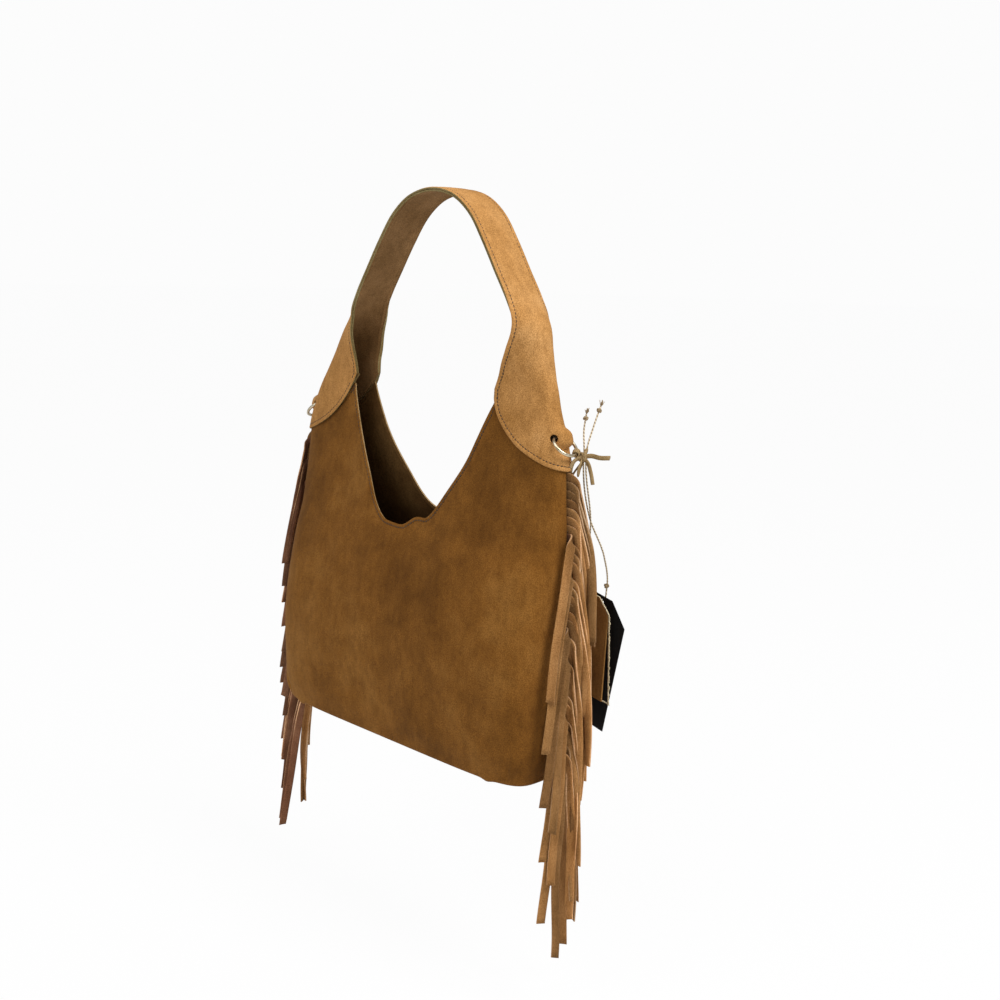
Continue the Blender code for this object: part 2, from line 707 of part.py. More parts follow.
TAG_HOLE_DROP = 0.006
card_across = Vector((-0.97, 0.0, 0.24)).normalized()
card_down = Vector((-0.247, 0.06, -0.967))
card_down = (card_down - card_across * card_down.dot(card_across)).normalized()
suede_tag_across = Vector((-0.98, 0.14, 0.10)).normalized()
suede_tag_down = Vector((-0.02, 0.05, -0.99)).normalized()
suede_tag_down = (suede_tag_down - suede_tag_across * suede_tag_down.dot(suede_tag_across)).normalized()
card_top = place(0.1725, 0.0650, 0.160)
suede_tag_top = place(0.1660, 0.0575, 0.162)
card_tag = tag("card_tag", card_top, card_across, card_down, CARD_SIZE, CARD_CLIP, (0.012, 0.012, 0.013))
suede_tag = tag("suede_tag", suede_tag_top, suede_tag_across, suede_tag_down, SUEDE_TAG_SIZE, SUEDE_TAG_CLIP, SUEDE)

# Twine: one end up beside the knot, down to the tags, through both holes, and back up to the other end
past_knot = KNOT_RADIUS * 1.15 + TWINE_RADIUS + 0.0002
bearing_drop = TAG_HOLE_DROP - TAG_HOLE_RADIUS + TWINE_RADIUS + 0.0003
suede_tag_hole = suede_tag_top + suede_tag_down * bearing_drop
card_hole = card_top + card_down * bearing_drop
through_suede_tag = suede_tag_down.cross(suede_tag_across).normalized() * 0.003
through_card = card_down.cross(card_across).normalized() * 0.003
twine_route = [
    place(0.186, 0.030, 0.340),
    place(0.1865, 0.0235, 0.322),
    knot_centre + Vector((-0.0008, past_knot, 0.0040)),
    knot_centre + Vector((-0.0010, past_knot, -0.0040)),
    place(0.1830, 0.030, 0.240),
    suede_tag_hole - through_suede_tag + Vector((0.0005, -0.004, 0.012)),
    suede_tag_hole - through_suede_tag,
    suede_tag_hole + through_suede_tag,
    card_hole - through_card,
    card_hole + through_card,
    card_hole + through_card + Vector((0.0005, 0.002, 0.010)),
    place(0.1790, 0.056, 0.200),
    place(0.1790, 0.033, 0.240),
    knot_centre + Vector((-0.0030, past_knot - 0.0009, -0.0040)),
    knot_centre + Vector((-0.0028, past_knot - 0.0009, 0.0040)),
    place(0.1785, 0.0205, 0.320),
    place(0.1790, 0.0210, 0.333),
]
tag_string = tube("tag_string", smooth_route(twine_route, 72), TWINE_RADIUS, 2, bag)
finish(tag_string, (0.72, 0.60, 0.42), 0.9)
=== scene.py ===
import math
import random

import bmesh
import bpy
import numpy as np
from mathutils import Matrix, Vector, noise as field
from mathutils.bvhtree import BVHTree
from mathutils.kdtree import KDTree


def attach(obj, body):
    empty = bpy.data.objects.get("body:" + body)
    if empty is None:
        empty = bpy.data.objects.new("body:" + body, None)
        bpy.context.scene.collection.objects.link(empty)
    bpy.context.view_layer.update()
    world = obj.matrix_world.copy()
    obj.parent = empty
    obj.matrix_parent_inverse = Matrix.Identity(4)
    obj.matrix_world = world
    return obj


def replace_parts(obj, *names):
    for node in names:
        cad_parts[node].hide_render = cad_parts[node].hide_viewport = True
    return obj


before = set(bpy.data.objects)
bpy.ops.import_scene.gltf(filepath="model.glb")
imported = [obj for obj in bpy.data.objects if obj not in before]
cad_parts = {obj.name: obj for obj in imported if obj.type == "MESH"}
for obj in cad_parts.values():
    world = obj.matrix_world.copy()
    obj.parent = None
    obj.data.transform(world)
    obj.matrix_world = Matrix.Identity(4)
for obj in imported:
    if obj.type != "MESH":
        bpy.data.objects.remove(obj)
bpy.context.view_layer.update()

collection = bpy.context.scene.collection

# Camera: it looks at the front panel and the bag's right side from a little above, as the photograph
# does.
camera_data = bpy.data.cameras.new("camera")
camera_data.sensor_width = 36.0
camera_data.lens = 44.87
camera = bpy.data.objects.new("camera", camera_data)
collection.objects.link(camera)
camera_right = Vector((0.710076, 0.703647, 0.025937))
camera_up = Vector((-0.142768, 0.107806, 0.983867))
camera_back = Vector((0.689499, -0.702324, 0.177009))
camera_turn = Matrix((camera_right, camera_up, camera_back)).transposed().to_4x4()
camera.matrix_world = Matrix.Translation((0.86645, -0.80473, -0.07533)) @ camera_turn
bpy.context.scene.camera = camera

# Tag twine: two-ply jute about 1.5 mm thick, tied round the knot of the lace. Its two ends stand up,
# and the doubled strand hangs down through the holes of both tags.
twine_radius = 0.00075
twine_spacing = 0.0016
ply_pitch = 0.0016
twine_route = [
    (0.16723, 0.030, -0.185), (0.16532, 0.0235, -0.203), (0.16399, 0.017, -0.22465),
    (0.16379, 0.017, -0.23265), (0.1605, 0.030, -0.285), (0.14314, 0.05082, -0.35571),
    (0.14264, 0.05482, -0.36771), (0.14351, 0.06074, -0.36743), (0.14885, 0.06228, -0.36963),
    (0.14894, 0.06827, -0.36928), (0.14944, 0.07027, -0.35928), (0.1565, 0.056, -0.325),
    (0.1565, 0.033, -0.285), (0.16179, 0.0161, -0.23265), (0.16199, 0.0161, -0.22465),
    (0.15719, 0.0205, -0.205), (0.15888, 0.021, -0.192),
]


def cubic(t, step, start, end, start_slope, end_slope):
    """The point at the share t of a smooth step from start to end, with a slope given at both."""
    return (
        (2 * t**3 - 3 * t**2 + 1) * start + (t**3 - 2 * t**2 + t) * step * start_slope
        + (3 * t**2 - 2 * t**3) * end + (t**3 - t**2) * step * end_slope
    )


def run_along(line):
    """How far each point is from the first one, along the line."""
    return np.concatenate([[0.0], np.cumsum(np.linalg.norm(np.diff(line, axis=0), axis=1))])


def points_at(distances, run, line):
    """The points at these distances along the line."""
    return np.stack([np.interp(distances, run, line[:, k]) for k in range(3)], axis=1)


def smooth_line(route, spacing):
    """Evenly spaced points on a smooth curve through the route, and the curve's length."""
    route = np.array(route, dtype=float)
    stops = run_along(route)
    slopes = np.stack([np.gradient(route[:, k], stops) for k in range(3)], axis=1)
    at = np.linspace(0.0, stops[-1], max(8, int(stops[-1] / spacing) * 6))
    i = np.clip(np.searchsorted(stops, at) - 1, 0, len(stops) - 2)
    step = (stops[i + 1] - stops[i])[:, None]
    t = (at - stops[i])[:, None] / step
    dense = cubic(t, step, route[i], route[i + 1], slopes[i], slopes[i + 1])
    run = run_along(dense)
    even = np.linspace(0.0, run[-1], max(3, int(round(run[-1] / spacing)) + 1))
    return points_at(even, run, dense), float(run[-1])


def set_inputs(node, **values):
    """Sets a node's inputs by their names, with _ for each space."""
    for name, value in values.items():
        node.inputs[name.replace("_", " ")].default_value = value


def new_material(name, roughness):
    material = bpy.data.materials.new(name)
    material.use_nodes = True
    shader = material.node_tree.nodes["Principled BSDF"]
    set_inputs(shader, Roughness=roughness)
    return material, material.node_tree, shader


def noise(tree, scale, detail, coordinates, stretch=None):
    """A noise texture on the piece's own coordinates; stretch squeezes it along an axis."""
    node = tree.nodes.new("ShaderNodeTexNoise")
    set_inputs(node, Scale=scale, Detail=detail)
    if stretch:
        mapping = tree.nodes.new("ShaderNodeMapping")
        set_inputs(mapping, Scale=stretch)
        tree.links.new(coordinates, mapping.inputs["Vector"])
        coordinates = mapping.outputs["Vector"]
    tree.links.new(coordinates, node.inputs["Vector"])
    return node.outputs["Fac"]


def shades(tree, factor, stops):
    """A colour ramp from (position, colour) stops."""
    ramp = tree.nodes.new("ShaderNodeValToRGB")
    while len(ramp.color_ramp.elements) < len(stops):
        ramp.color_ramp.elements.new(0.5)
    for element, (position, colour) in zip(ramp.color_ramp.elements, stops):
        element.position = position
        element.color = (*colour, 1.0)
    tree.links.new(factor, ramp.inputs["Fac"])
    return ramp.outputs["Color"]


def blend_colours(tree, kind, amount, first, second):
    mix = tree.nodes.new("ShaderNodeMix")
    mix.data_type = "RGBA"
    mix.blend_type = kind
    if isinstance(amount, float):
        mix.inputs["Factor"].default_value = amount
    else:
        tree.links.new(amount, mix.inputs["Factor"])
    for socket, value in ((mix.inputs["A"], first), (mix.inputs["B"], second)):
        if isinstance(value, tuple):
            socket.default_value = (*value, 1.0)
        else:
            tree.links.new(value, socket)
    return mix.outputs["Result"]


def raise_bumps(tree, shader, height, strength, distance):
    bump = tree.nodes.new("ShaderNodeBump")
    set_inputs(bump, Strength=strength, Distance=distance)
    tree.links.new(height, bump.inputs["Height"])
    tree.links.new(bump.outputs["Normal"], shader.inputs["Normal"])


twine_points, twine_length = smooth_line(twine_route, twine_spacing)
twine_curve = bpy.data.curves.new("tag_twine", "CURVE")
twine_curve.dimensions = "3D"
twine_curve.bevel_depth = twine_radius
twine_curve.bevel_resolution = 3
twine_curve.use_fill_caps = True
twine_spline = twine_curve.splines.new("POLY")
twine_spline.points.add(len(twine_points) - 1)
for twine_point, place_on_route in zip(twine_spline.points, twine_points):
    twine_point.co = (*place_on_route, 1.0)
twine = bpy.data.objects.new("tag_twine", twine_curve)
collection.objects.link(twine)
jute, tree, shader = new_material("jute", 0.85)
uv = tree.nodes.new("ShaderNodeTexCoord").outputs["UV"]
ply = tree.nodes.new("ShaderNodeTexWave")
ply.bands_direction = "DIAGONAL"
set_inputs(ply, Scale=1.0, Distortion=0.6)
turns = tree.nodes.new("ShaderNodeMapping")
one_band = 0.32
set_inputs(turns, Scale=(twine_length / ply_pitch * one_band, 2 * one_band, 1.0))
tree.links.new(uv, turns.inputs["Vector"])
tree.links.new(turns.outputs["Vector"], ply.inputs["Vector"])
# Painted shade: the colour darkens with the bump into the grooves between the two plies.
tree.links.new(
    shades(tree, ply.outputs["Fac"], [(0.1, (0.30, 0.21, 0.11)), (0.7, (0.72, 0.60, 0.42))]),
    shader.inputs["Base Color"],
)
raise_bumps(tree, shader, ply.outputs["Fac"], 0.6, 0.0002)
twine_curve.materials.append(jute)
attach(twine, "right_ring")
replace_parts(twine, "tag_string")


# Twine ends: each is stopped with a tight overhand knot and frays out above it into loose fibres.
# Two more knots sit where the strand meets the tags.
def add_mesh(name, verts, faces, materials, body, smooth=True):
    mesh = bpy.data.meshes.new(name)
    mesh.from_pydata([tuple(v) for v in verts], [], faces)
    for material in materials:
        mesh.materials.append(material)
    if smooth:
        mesh.shade_smooth()
    item = bpy.data.objects.new(name, mesh)
    collection.objects.link(item)
    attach(item, body)
    return item


def sweep(verts, faces, line, wide_start, half_wide, half_thin, sides=10, closed=False):
    """Adds a rounded flat tube along the line; wide_start is its first width direction."""
    line = [Vector(p) for p in line]
    wide = Vector(wide_start).normalized()
    first, rings = len(verts), len(line)
    for k, point in enumerate(line):
        ahead = line[(k + 1) % rings] if closed else line[min(k + 1, rings - 1)]
        behind = line[k - 1] if closed else line[max(k - 1, 0)]
        flow = (ahead - behind).normalized()
        wide = (wide - flow * wide.dot(flow)).normalized()
        thin = flow.cross(wide)
        for side in range(sides):
            turn = 2 * math.pi * side / sides
            across, through = math.cos(turn), math.sin(turn)
            square = (abs(across) ** 3 + abs(through) ** 3) ** (-1 / 3)
            spot = point + wide * (half_wide * across * square)
            verts.append(spot + thin * (half_thin * through * square))
    for k in range(rings if closed else rings - 1):
        a = first + k * sides
        b = first + ((k + 1) % rings) * sides
        for side in range(sides):
            nxt = (side + 1) % sides
            faces.append((a + side, a + nxt, b + nxt, b + side))
    if not closed:
        faces.append(tuple(first + side for side in reversed(range(sides))))
        faces.append(tuple(first + (rings - 1) * sides + side for side in range(sides)))


def overhand(centre, size, lean):
    """The line of a small pulled-up knot round the centre."""
    line, count = [], 48
    for k in range(count):
        t = 2 * math.pi * k / count
        x = (math.sin(t) + 2 * math.sin(2 * t)) / 3
        y = (math.cos(t) - 2 * math.cos(2 * t)) / 3
        z = -math.sin(3 * t) * 0.55
        line.append(Vector(centre) + lean @ Vector((x, y, z)) * size)
    return line


luck = random.Random(11)
fibre_count, fibre_steps, fibre_spread = 16, 4, 0.0019
verts, faces = [], []
for tip, lower in ((twine_points[0], twine_points[6]), (twine_points[-1], twine_points[-7])):
    tip, lower = Vector(tip), Vector(lower)
    upward = (tip - lower).normalized()
    lean = upward.to_track_quat("Z", "Y").to_matrix()
    stopper = overhand(tip - upward * 0.004, 0.0017, lean)
    sweep(verts, faces, stopper, (0, 0, 1), 0.0009, 0.0008, 8, closed=True)
    for _ in range(fibre_count):
        spread = lean @ Vector((luck.uniform(-1, 1), luck.uniform(-1, 1), 0.0))
        reach = luck.uniform(0.002, 0.0055)
        line = []
        for k in range(fibre_steps + 1):
            out = fibre_spread * (k / fibre_steps) ** 0.8
            line.append(tip + upward * (reach * k / fibre_steps) + spread * out)
        sweep(verts, faces, line, (1, 0, 0), 0.00028, 0.00024, 5)
tag_knot_turn = Matrix.Rotation(0.7, 3, "X")
for place, size in (((0.1436, 0.0503, -0.3545), 0.0019), ((0.1500, 0.0690, -0.3560), 0.0017)):
    tag_knot = overhand(place, size, tag_knot_turn)
    sweep(verts, faces, tag_knot, (0, 0, 1), 0.0010, 0.0009, 8, closed=True)
twine_knots = add_mesh("twine_ends", verts, faces, [jute], "right_ring")

# Front and back panels: one piece of 1.5 mm suede each, cut with a deep V at the top, carried round
# the sides to the side seams and under the base to the bottom seam. The nap is mottled, the cut edge
# is pale, and the leather sags in soft hollows.
bag_middle = -0.0225
apex_shift = Vector((bag_middle, 0.0, -0.525))
half_widths = {
    0.0: 0.1755, 0.03: 0.1812, 0.10: 0.1815, 0.18: 0.183, 0.22: 0.183,
    0.26: 0.181, 0.285: 0.1795, 0.305: 0.1745, 0.32: 0.169, 0.35: 0.156,
}
half_depths = {
    0.0: 0.0515, 0.03: 0.0572, 0.10: 0.059, 0.18: 0.049, 0.22: 0.0345,
    0.28: 0.0215, 0.32: 0.0175, 0.35: 0.0150,
}
squareness = {0.0: 6.0, 0.10: 5.0, 0.22: 3.2, 0.35: 3.0}
neckline = {
    0.0: 0.2130, 0.02: 0.2146, 0.03: 0.2193, 0.04: 0.2290, 0.055: 0.2514,
    0.075: 0.2832, 0.095: 0.3274, 0.11: 0.3653,
}
tab_arc = {
    0.0: 0.0, 0.2: 0.016, 0.4: 0.032, 0.6: 0.0475, 0.75: 0.057, 0.87: 0.0625, 0.95: 0.0648, 1.0: 0.0652,
}
tab_height = {
    0.0: 0.2835, 0.2: 0.287, 0.4: 0.293, 0.6: 0.302, 0.75: 0.312, 0.87: 0.322, 0.95: 0.3305, 1.0: 0.339,
}
tab_overlap = 0.012
strap_lean = {0.30: 0.0, 0.33: 0.002, 0.35: 0.006, 0.387: 0.014, 0.41: 0.020, 0.44: 0.020, 0.53: 0.0225}
base_radius, base_seam_gap = 0.0045, 0.0002
panel_leather = 0.0015
hump_height, hump_centre, hump_half_width = 0.008, 0.021, 0.018
back_rise, back_rise_reach = 0.005, 0.05


def along(knots, value):
    """A smooth curve through the knots that never overshoots them."""
    xs = np.array(sorted(knots))
    ys = np.array([knots[x] for x in xs])
    steps = np.diff(xs)
    rates = np.diff(ys) / steps
    slopes = np.zeros(len(xs))
    slopes[0], slopes[-1] = rates[0], rates[-1]
    for i in range(1, len(xs) - 1):
        if rates[i - 1] * rates[i] > 0:
            slopes[i] = 2 * rates[i - 1] * rates[i] / (rates[i - 1] + rates[i])
    value = np.asarray(value, dtype=float)
    i = np.clip(np.searchsorted(xs, value) - 1, 0, len(steps) - 1)
    t = (value - xs[i]) / steps[i]
    curve = cubic(t, steps[i], ys[i], ys[i + 1], slopes[i], slopes[i + 1])
    below = ys[0] + (value - xs[0]) * slopes[0]
    above = ys[-1] + (value - xs[-1]) * slopes[-1]
    return np.where(value < xs[0], below, np.where(value > xs[-1], above, curve))


def hung(x, y, z):
    """From the bag's middle and base to the frame, whose origin is under the strap."""
    lean = float(along(strap_lean, z)) if z > 0.30 else 0.0
    return Vector((x + lean, y, z)) + apex_shift


outline_angle = np.linspace(0.0, math.pi / 2, 241)
outlines = {}


def quarter(height):
    """The closed outline at this height, from the side to the middle of the front, and the run along it."""
    key = round(height, 5)
    if key not in outlines:
        power = float(along(squareness, height))
        reach = (np.cos(outline_angle) ** power + np.sin(outline_angle) ** power) ** (-1 / power)
        x = float(along(half_widths, height)) * np.cos(outline_angle) * reach
        y = float(along(half_depths, height)) * np.sin(outline_angle) * reach
        outlines[key] = x, y, np.concatenate([[0.0], np.cumsum(np.hypot(np.diff(x), np.diff(y)))])
    return outlines[key]


share_line = np.linspace(0.0, 1.0, 161)
tab_arc_line, tab_height_line = along(tab_arc, share_line), along(tab_height, share_line)


def tab_edge_height(distance):
    return float(np.interp(distance, tab_arc_line, tab_height_line))


def rim_height(across, side, front):
    """Height of the cut neckline; the front rim has a low hump beside the middle."""
    height = float(along(neckline, across))
    if front:
        share = abs(side * across - hump_centre) / hump_half_width
        hump = hump_height * (0.5 + 0.5 * math.cos(math.pi * share)) if share < 1 else 0.0
        return height + hump
    return height + back_rise * max(0.0, 1 - across / back_rise_reach)


def panel_top(share, side, front):
    """Height of the panel's top edge, at this share of the way from the side to the middle."""
    low, high = 0.15, 0.37
    for _ in range(24):
        height = (low + high) / 2
        x, y, run = quarter(height)
        distance = share * run[-1]
        across = float(np.interp(distance, run, x))
        if height < min(rim_height(across, side, front), tab_edge_height(distance) + tab_overlap):
            low = height
        else:
            high = height
    return (low + high) / 2


def scale_and_add(tree, value, factor, addend=None):
    """The value times the factor, plus the addend where there is one."""
    node = tree.nodes.new("ShaderNodeMath")
    node.operation = "MULTIPLY" if addend is None else "MULTIPLY_ADD"
    tree.links.new(value, node.inputs[0])
    node.inputs[1].default_value = factor
    if addend is not None:
        tree.links.new(addend, node.inputs[2])
    return node.outputs[0]


def suede(name, deep, mid, pale, tone_and_painted_shade=False, nap=(1.0, 1.0, 0.45), sheen=0.12):
    """Brushed leather: soft blotches, strokes of the nap and a fine grain, with a dusty sheen."""
    material, tree, shader = new_material(name, 0.9)
    at = tree.nodes.new("ShaderNodeTexCoord").outputs["Object"]
    clouds = noise(tree, 7.0, 3.0, at)
    blotches = noise(tree, 34.0, 5.0, at)
    strokes = noise(tree, 170.0, 5.0, at, nap)
    grain = noise(tree, 1150.0, 3.0, at)
    mottle = scale_and_add(tree, clouds, 0.6, scale_and_add(tree, blotches, 0.4))
    colour = shades(tree, mottle, [(0.36, deep), (0.50, mid), (0.64, pale)])
    plain = (0.50, (1.0, 1.0, 1.0))
    stroke_stops = [(0.30, (0.80, 0.78, 0.74)), plain, (0.72, (1.14, 1.15, 1.18))]
    grain_stops = [(0.34, (0.66, 0.62, 0.56)), plain, (0.66, (1.32, 1.36, 1.45))]
    colour = blend_colours(tree, "MULTIPLY", 0.75, colour, shades(tree, strokes, stroke_stops))
    colour = blend_colours(tree, "MULTIPLY", 0.85, colour, shades(tree, grain, grain_stops))
    # The per-vertex colour attribute holds each strip's own tint and warmth together with painted shade.
    if tone_and_painted_shade:
        attribute = tree.nodes.new("ShaderNodeAttribute")
        attribute.attribute_name = "tone_and_painted_shade"
        colour = blend_colours(tree, "MULTIPLY", 1.0, colour, attribute.outputs["Color"])
    tree.links.new(colour, shader.inputs["Base Color"])
    raise_bumps(tree, shader, scale_and_add(tree, strokes, 0.8, grain), 0.5, 0.0006)
    set_inputs(shader, Specular_IOR_Level=0.1, Sheen_Weight=sheen, Sheen_Roughness=0.5)
    set_inputs(shader, Sheen_Tint=(0.80, 0.52, 0.26, 1.0))
    return material


panel_suede = suede("panel_suede", (0.125, 0.047, 0.006), (0.185, 0.073, 0.011), (0.245, 0.107, 0.021))
# The panels' inner face: the flesh side, coloured darker partly as painted shade inside the bag.
flesh_side_and_inner_shade = suede(
    "flesh_side_and_inner_shade", (0.070, 0.029, 0.008), (0.115, 0.052, 0.014), (0.17, 0.088, 0.027), sheen=0.05
)
cut_edge = suede("cut_edge", (0.30, 0.17, 0.060), (0.40, 0.245, 0.10), (0.50, 0.33, 0.16), sheen=0.05)


def press_rim(item, rim, ridge, groove, groove_at=0.0037, groove_width=0.0009, reach=0.010):
    """Swells the leather next to its cut edge and sinks the line that the stitches pull down."""
    tree = KDTree(len(rim))
    for k, point in enumerate(rim):
        tree.insert(point, k)
    tree.balance()
    normals = [vertex.normal.copy() for vertex in item.data.vertices]
    for vertex, normal in zip(item.data.vertices, normals):
        gap = tree.find(vertex.co)[2]
        if gap < reach:
            swell = ridge * math.sin(math.pi * (gap / groove_at)) ** 2 if gap < groove_at else 0.0
            sink = groove * math.exp(-(((gap - groove_at) / groove_width) ** 2))
            vertex.co += normal * (swell - sink)


def thicken(item, thickness, offset):
    """Gives a sheet its thickness; slot 1 is for its cut edge and slot 2 for its other face."""
    shell = item.modifiers.new("leather", "SOLIDIFY")
    shell.thickness = thickness
    shell.offset = offset
    shell.material_offset = 2
    shell.material_offset_rim = 1


def close_points(line, spacing=0.0006):
    """The line again with a point every spacing along it."""
    line = np.array([tuple(p) for p in line])
    run = run_along(line)
    return [Vector(p) for p in points_at(np.arange(0.0, run[-1], spacing), run, line)]


seam_inset = 0.00095
fold_steps = [0.0, 0.004, 0.009, 0.014, 0.020, 0.027, 0.035, 0.044, 0.055, 0.068, 0.083, 0.10, 0.12]
panel_shares = fold_steps + [0.14 + 0.86 * k / 62 for k in range(63)]
base_rows, bend_rows, up_rows = 12, 8, 96
near_edge = [0.0, 0.0007, 0.0014, 0.0021, 0.0028, 0.0034, 0.0040, 0.0047, 0.0055, 0.0066, 0.0080]
near_rim = near_edge + [0.0100]
ear_size, ear_share, ear_spread = 0.0026, 0.34, 0.028
hollow_depth, crease_depth, pucker_depth = 0.0024, 0.0007, 0.0022


def edge_point(share, height, inset):
    """How far across and how deep the closed outline is at this height, drawn in by the inset."""
    x, y, run = quarter(height)
    distance = seam_inset + share * (run[-1] - seam_inset)
    px = float(np.interp(distance, run, x)) * (x[0] - inset) / x[0]
    return px, max(seam_inset, float(np.interp(distance, run, y)) * (y[-1] - inset) / y[-1])


def slacken(spot, share, height, facing):
    """Moves a point of the panel by its soft hollows, the crease over the base and the puckers."""
    calm = min(1.0, share / 0.12) * min(1.0, (height - base_radius) / 0.03)
    soft = field.noise(Vector((spot.x * 11.0, facing * 2.0, spot.z * 6.0)))
    soft += 0.45 * field.noise(Vector((spot.x * 30.0 + 7.0, facing * 5.0, spot.z * 17.0)))
    spot.y += facing * hollow_depth * calm * (soft - 0.15)
    crease = math.exp(-(((height - 0.011) / 0.004) ** 2))
    spot.y -= facing * crease_depth * crease * calm
    corner = math.exp(-(((share - 0.22) / 0.05) ** 2) - ((height - 0.014) / 0.010) ** 2)
    spot.y += facing * pucker_depth * corner * math.sin(share * 120.0)
    return spot


def panel(name, front):
    """The panel as rows from the bottom seam to the cut top edge."""
    facing = -1.0 if front else 1.0
    columns = [(-1, s) for s in panel_shares] + [(1, s) for s in reversed(panel_shares[:-1])]
    tops = [panel_top(share, side, front) for side, share in columns]
    base_reach = float(along(half_widths, base_radius)) - base_radius
    rows = []
    for blend in (k / base_rows for k in range(base_rows)):
        row = []
        for side, share in columns:
            ex, ey = edge_point(share, base_radius, base_radius)
            middle = (1 - share) * base_reach
            y = base_seam_gap + blend * (ey - base_seam_gap)
            row.append(hung(side * (middle + blend * (ex - middle)), facing * y, 0.0))
        rows.append(row)
    for step in range(bend_rows + 1):
        turn = step * math.pi / (2 * bend_rows)
        row = []
        for side, share in columns:
            px, py = edge_point(share, base_radius, base_radius * (1 - math.sin(turn)))
            ear = ear_size * math.exp(-(((share - ear_share) / ear_spread) ** 2))
            ear *= 0.4 + 0.6 * math.sin(turn)
            row.append(hung(side * px, facing * py, base_radius * (1 - math.cos(turn)) - ear))
        rows.append(row)
    slants = []
    for j in range(len(columns)):
        spots = []
        for k in (max(j - 1, 0), min(j + 1, len(columns) - 1)):
            side, share = columns[k]
            px, py = edge_point(share, tops[k], 0.0)
            spots.append(Vector((side * px, facing * py, tops[k])))
        climb = abs((spots[1] - spots[0]).normalized().z)
        slants.append(max(0.35, math.cos(math.asin(min(1.0, climb)))))
    for step in range(1, up_rows + 1 + len(near_rim)):
        row = []
        for (side, share), top, slant in zip(columns, tops, slants):
            last = top - near_rim[-1] / slant
            if step <= up_rows:
                height = base_radius + (step / (up_rows + 1)) ** 0.95 * (last - base_radius)
            else:
                height = top - near_rim[up_rows - step] / slant
            px, py = edge_point(share, height, 0.0)
            row.append(slacken(hung(side * px, facing * py, height), share, height, facing))
        rows.append(row)
    wide = len(columns)
    verts = [point for row in rows for point in row]
    faces = []
    for i in range(len(rows) - 1):
        for j in range(wide - 1):
            a = i * wide + j
            quad = (a, a + 1, a + 1 + wide, a + wide)
            faces.append(quad if front else quad[::-1])
    item = add_mesh(name, verts, faces, [panel_suede, cut_edge, flesh_side_and_inner_shade], "bag")
    press_rim(item, close_points(rows[-1]), 0.0004, 0.0005)
    thicken(item, panel_leather, -1.0)
    return item, rows, BVHTree.FromPolygons([v.co for v in item.data.vertices], faces)


front_panel, front_rows, front_skin = panel("front_panel_suede", True)
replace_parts(front_panel, "front_panel")
back_panel, back_rows, back_skin = panel("back_panel_suede", False)
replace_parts(back_panel, "back_panel")

# Strap and tabs: an outer layer of lighter suede, cut wide at both ends to wrap the sides as tabs,
# over a lining of the same leather, coloured darker as painted shade. The two are stitched together
# along both edges of the band.
strap_line = [
    (0.1475, 0.367, 0.0465, 0.005, 0.0150), (0.1400, 0.382, 0.0360, 0.008, 0.0178),
    (0.1320, 0.397, 0.0245, 0.010, 0.0200), (0.1240, 0.409, 0.0145, 0.009, 0.0213),
    (0.1160, 0.419, 0.0070, 0.006, 0.0220), (0.1050, 0.431, 0.0025, 0.0025, 0.0220),
    (0.0880, 0.4545, 0.0011, 0.0009, 0.0220), (0.0705, 0.481, 0.0009, 0.0008, 0.0220),
    (0.0525, 0.5045, 0.0007, 0.0010, 0.0220), (0.0330, 0.5190, 0.0004, 0.0011, 0.0220),
    (0.0160, 0.5248, 0.0002, 0.0012, 0.0220),
]
strap_fold = [0.70, 0.76, 0.83, 0.89, 0.94, 0.97] + [0.98] * 5
strap_apex, apex_drop = 0.5265, 0.0012
strap_leather, lining_leather, lining_rise = 0.0016, 0.0015, 0.0135
across_shares = np.concatenate([np.linspace(0.0, 0.74, 21), np.linspace(0.775, 1.0, 8)])
tab_top, tab_top_arc = 0.35, 0.063
tab_rows, mark_rows = 52, 7
mirror = np.array([-1.0, 1.0, 1.0])
hole_height, hole_spread, hole_radius = 0.312, 0.007, 0.0036
outline_x, outline_y, _ = quarter(hole_height)
hole_x = float(np.interp(hole_spread, outline_y, outline_x))
near_x, far_x = np.interp([hole_spread - 0.001, hole_spread + 0.001], outline_y, outline_x)
hole_turn = math.atan2(near_x - far_x, 0.002)
bulge_out, bulge_up = 0.0085, 0.0004


def fold_section(fold_share, half_width):
    """Depth behind the middle line and width out from it, from the middle of the strap to its edge."""
    angle = np.linspace(0.0, math.pi / 2, 401)
    reach = (np.cos(angle) ** 3 + np.sin(angle) ** 3) ** (-1 / 3)
    x, y = np.cos(angle) * reach, np.sin(angle) * reach
    keep = x >= fold_share
    inward = (1 - x[keep]) / (1 - fold_share)
    out = y[keep] / y[keep][-1] * half_width
    run = np.concatenate([[0.0], np.cumsum(np.hypot(np.diff(inward), np.diff(out)))])
    run /= run[-1]
    return np.interp(across_shares, run, inward), np.interp(across_shares, run, out)


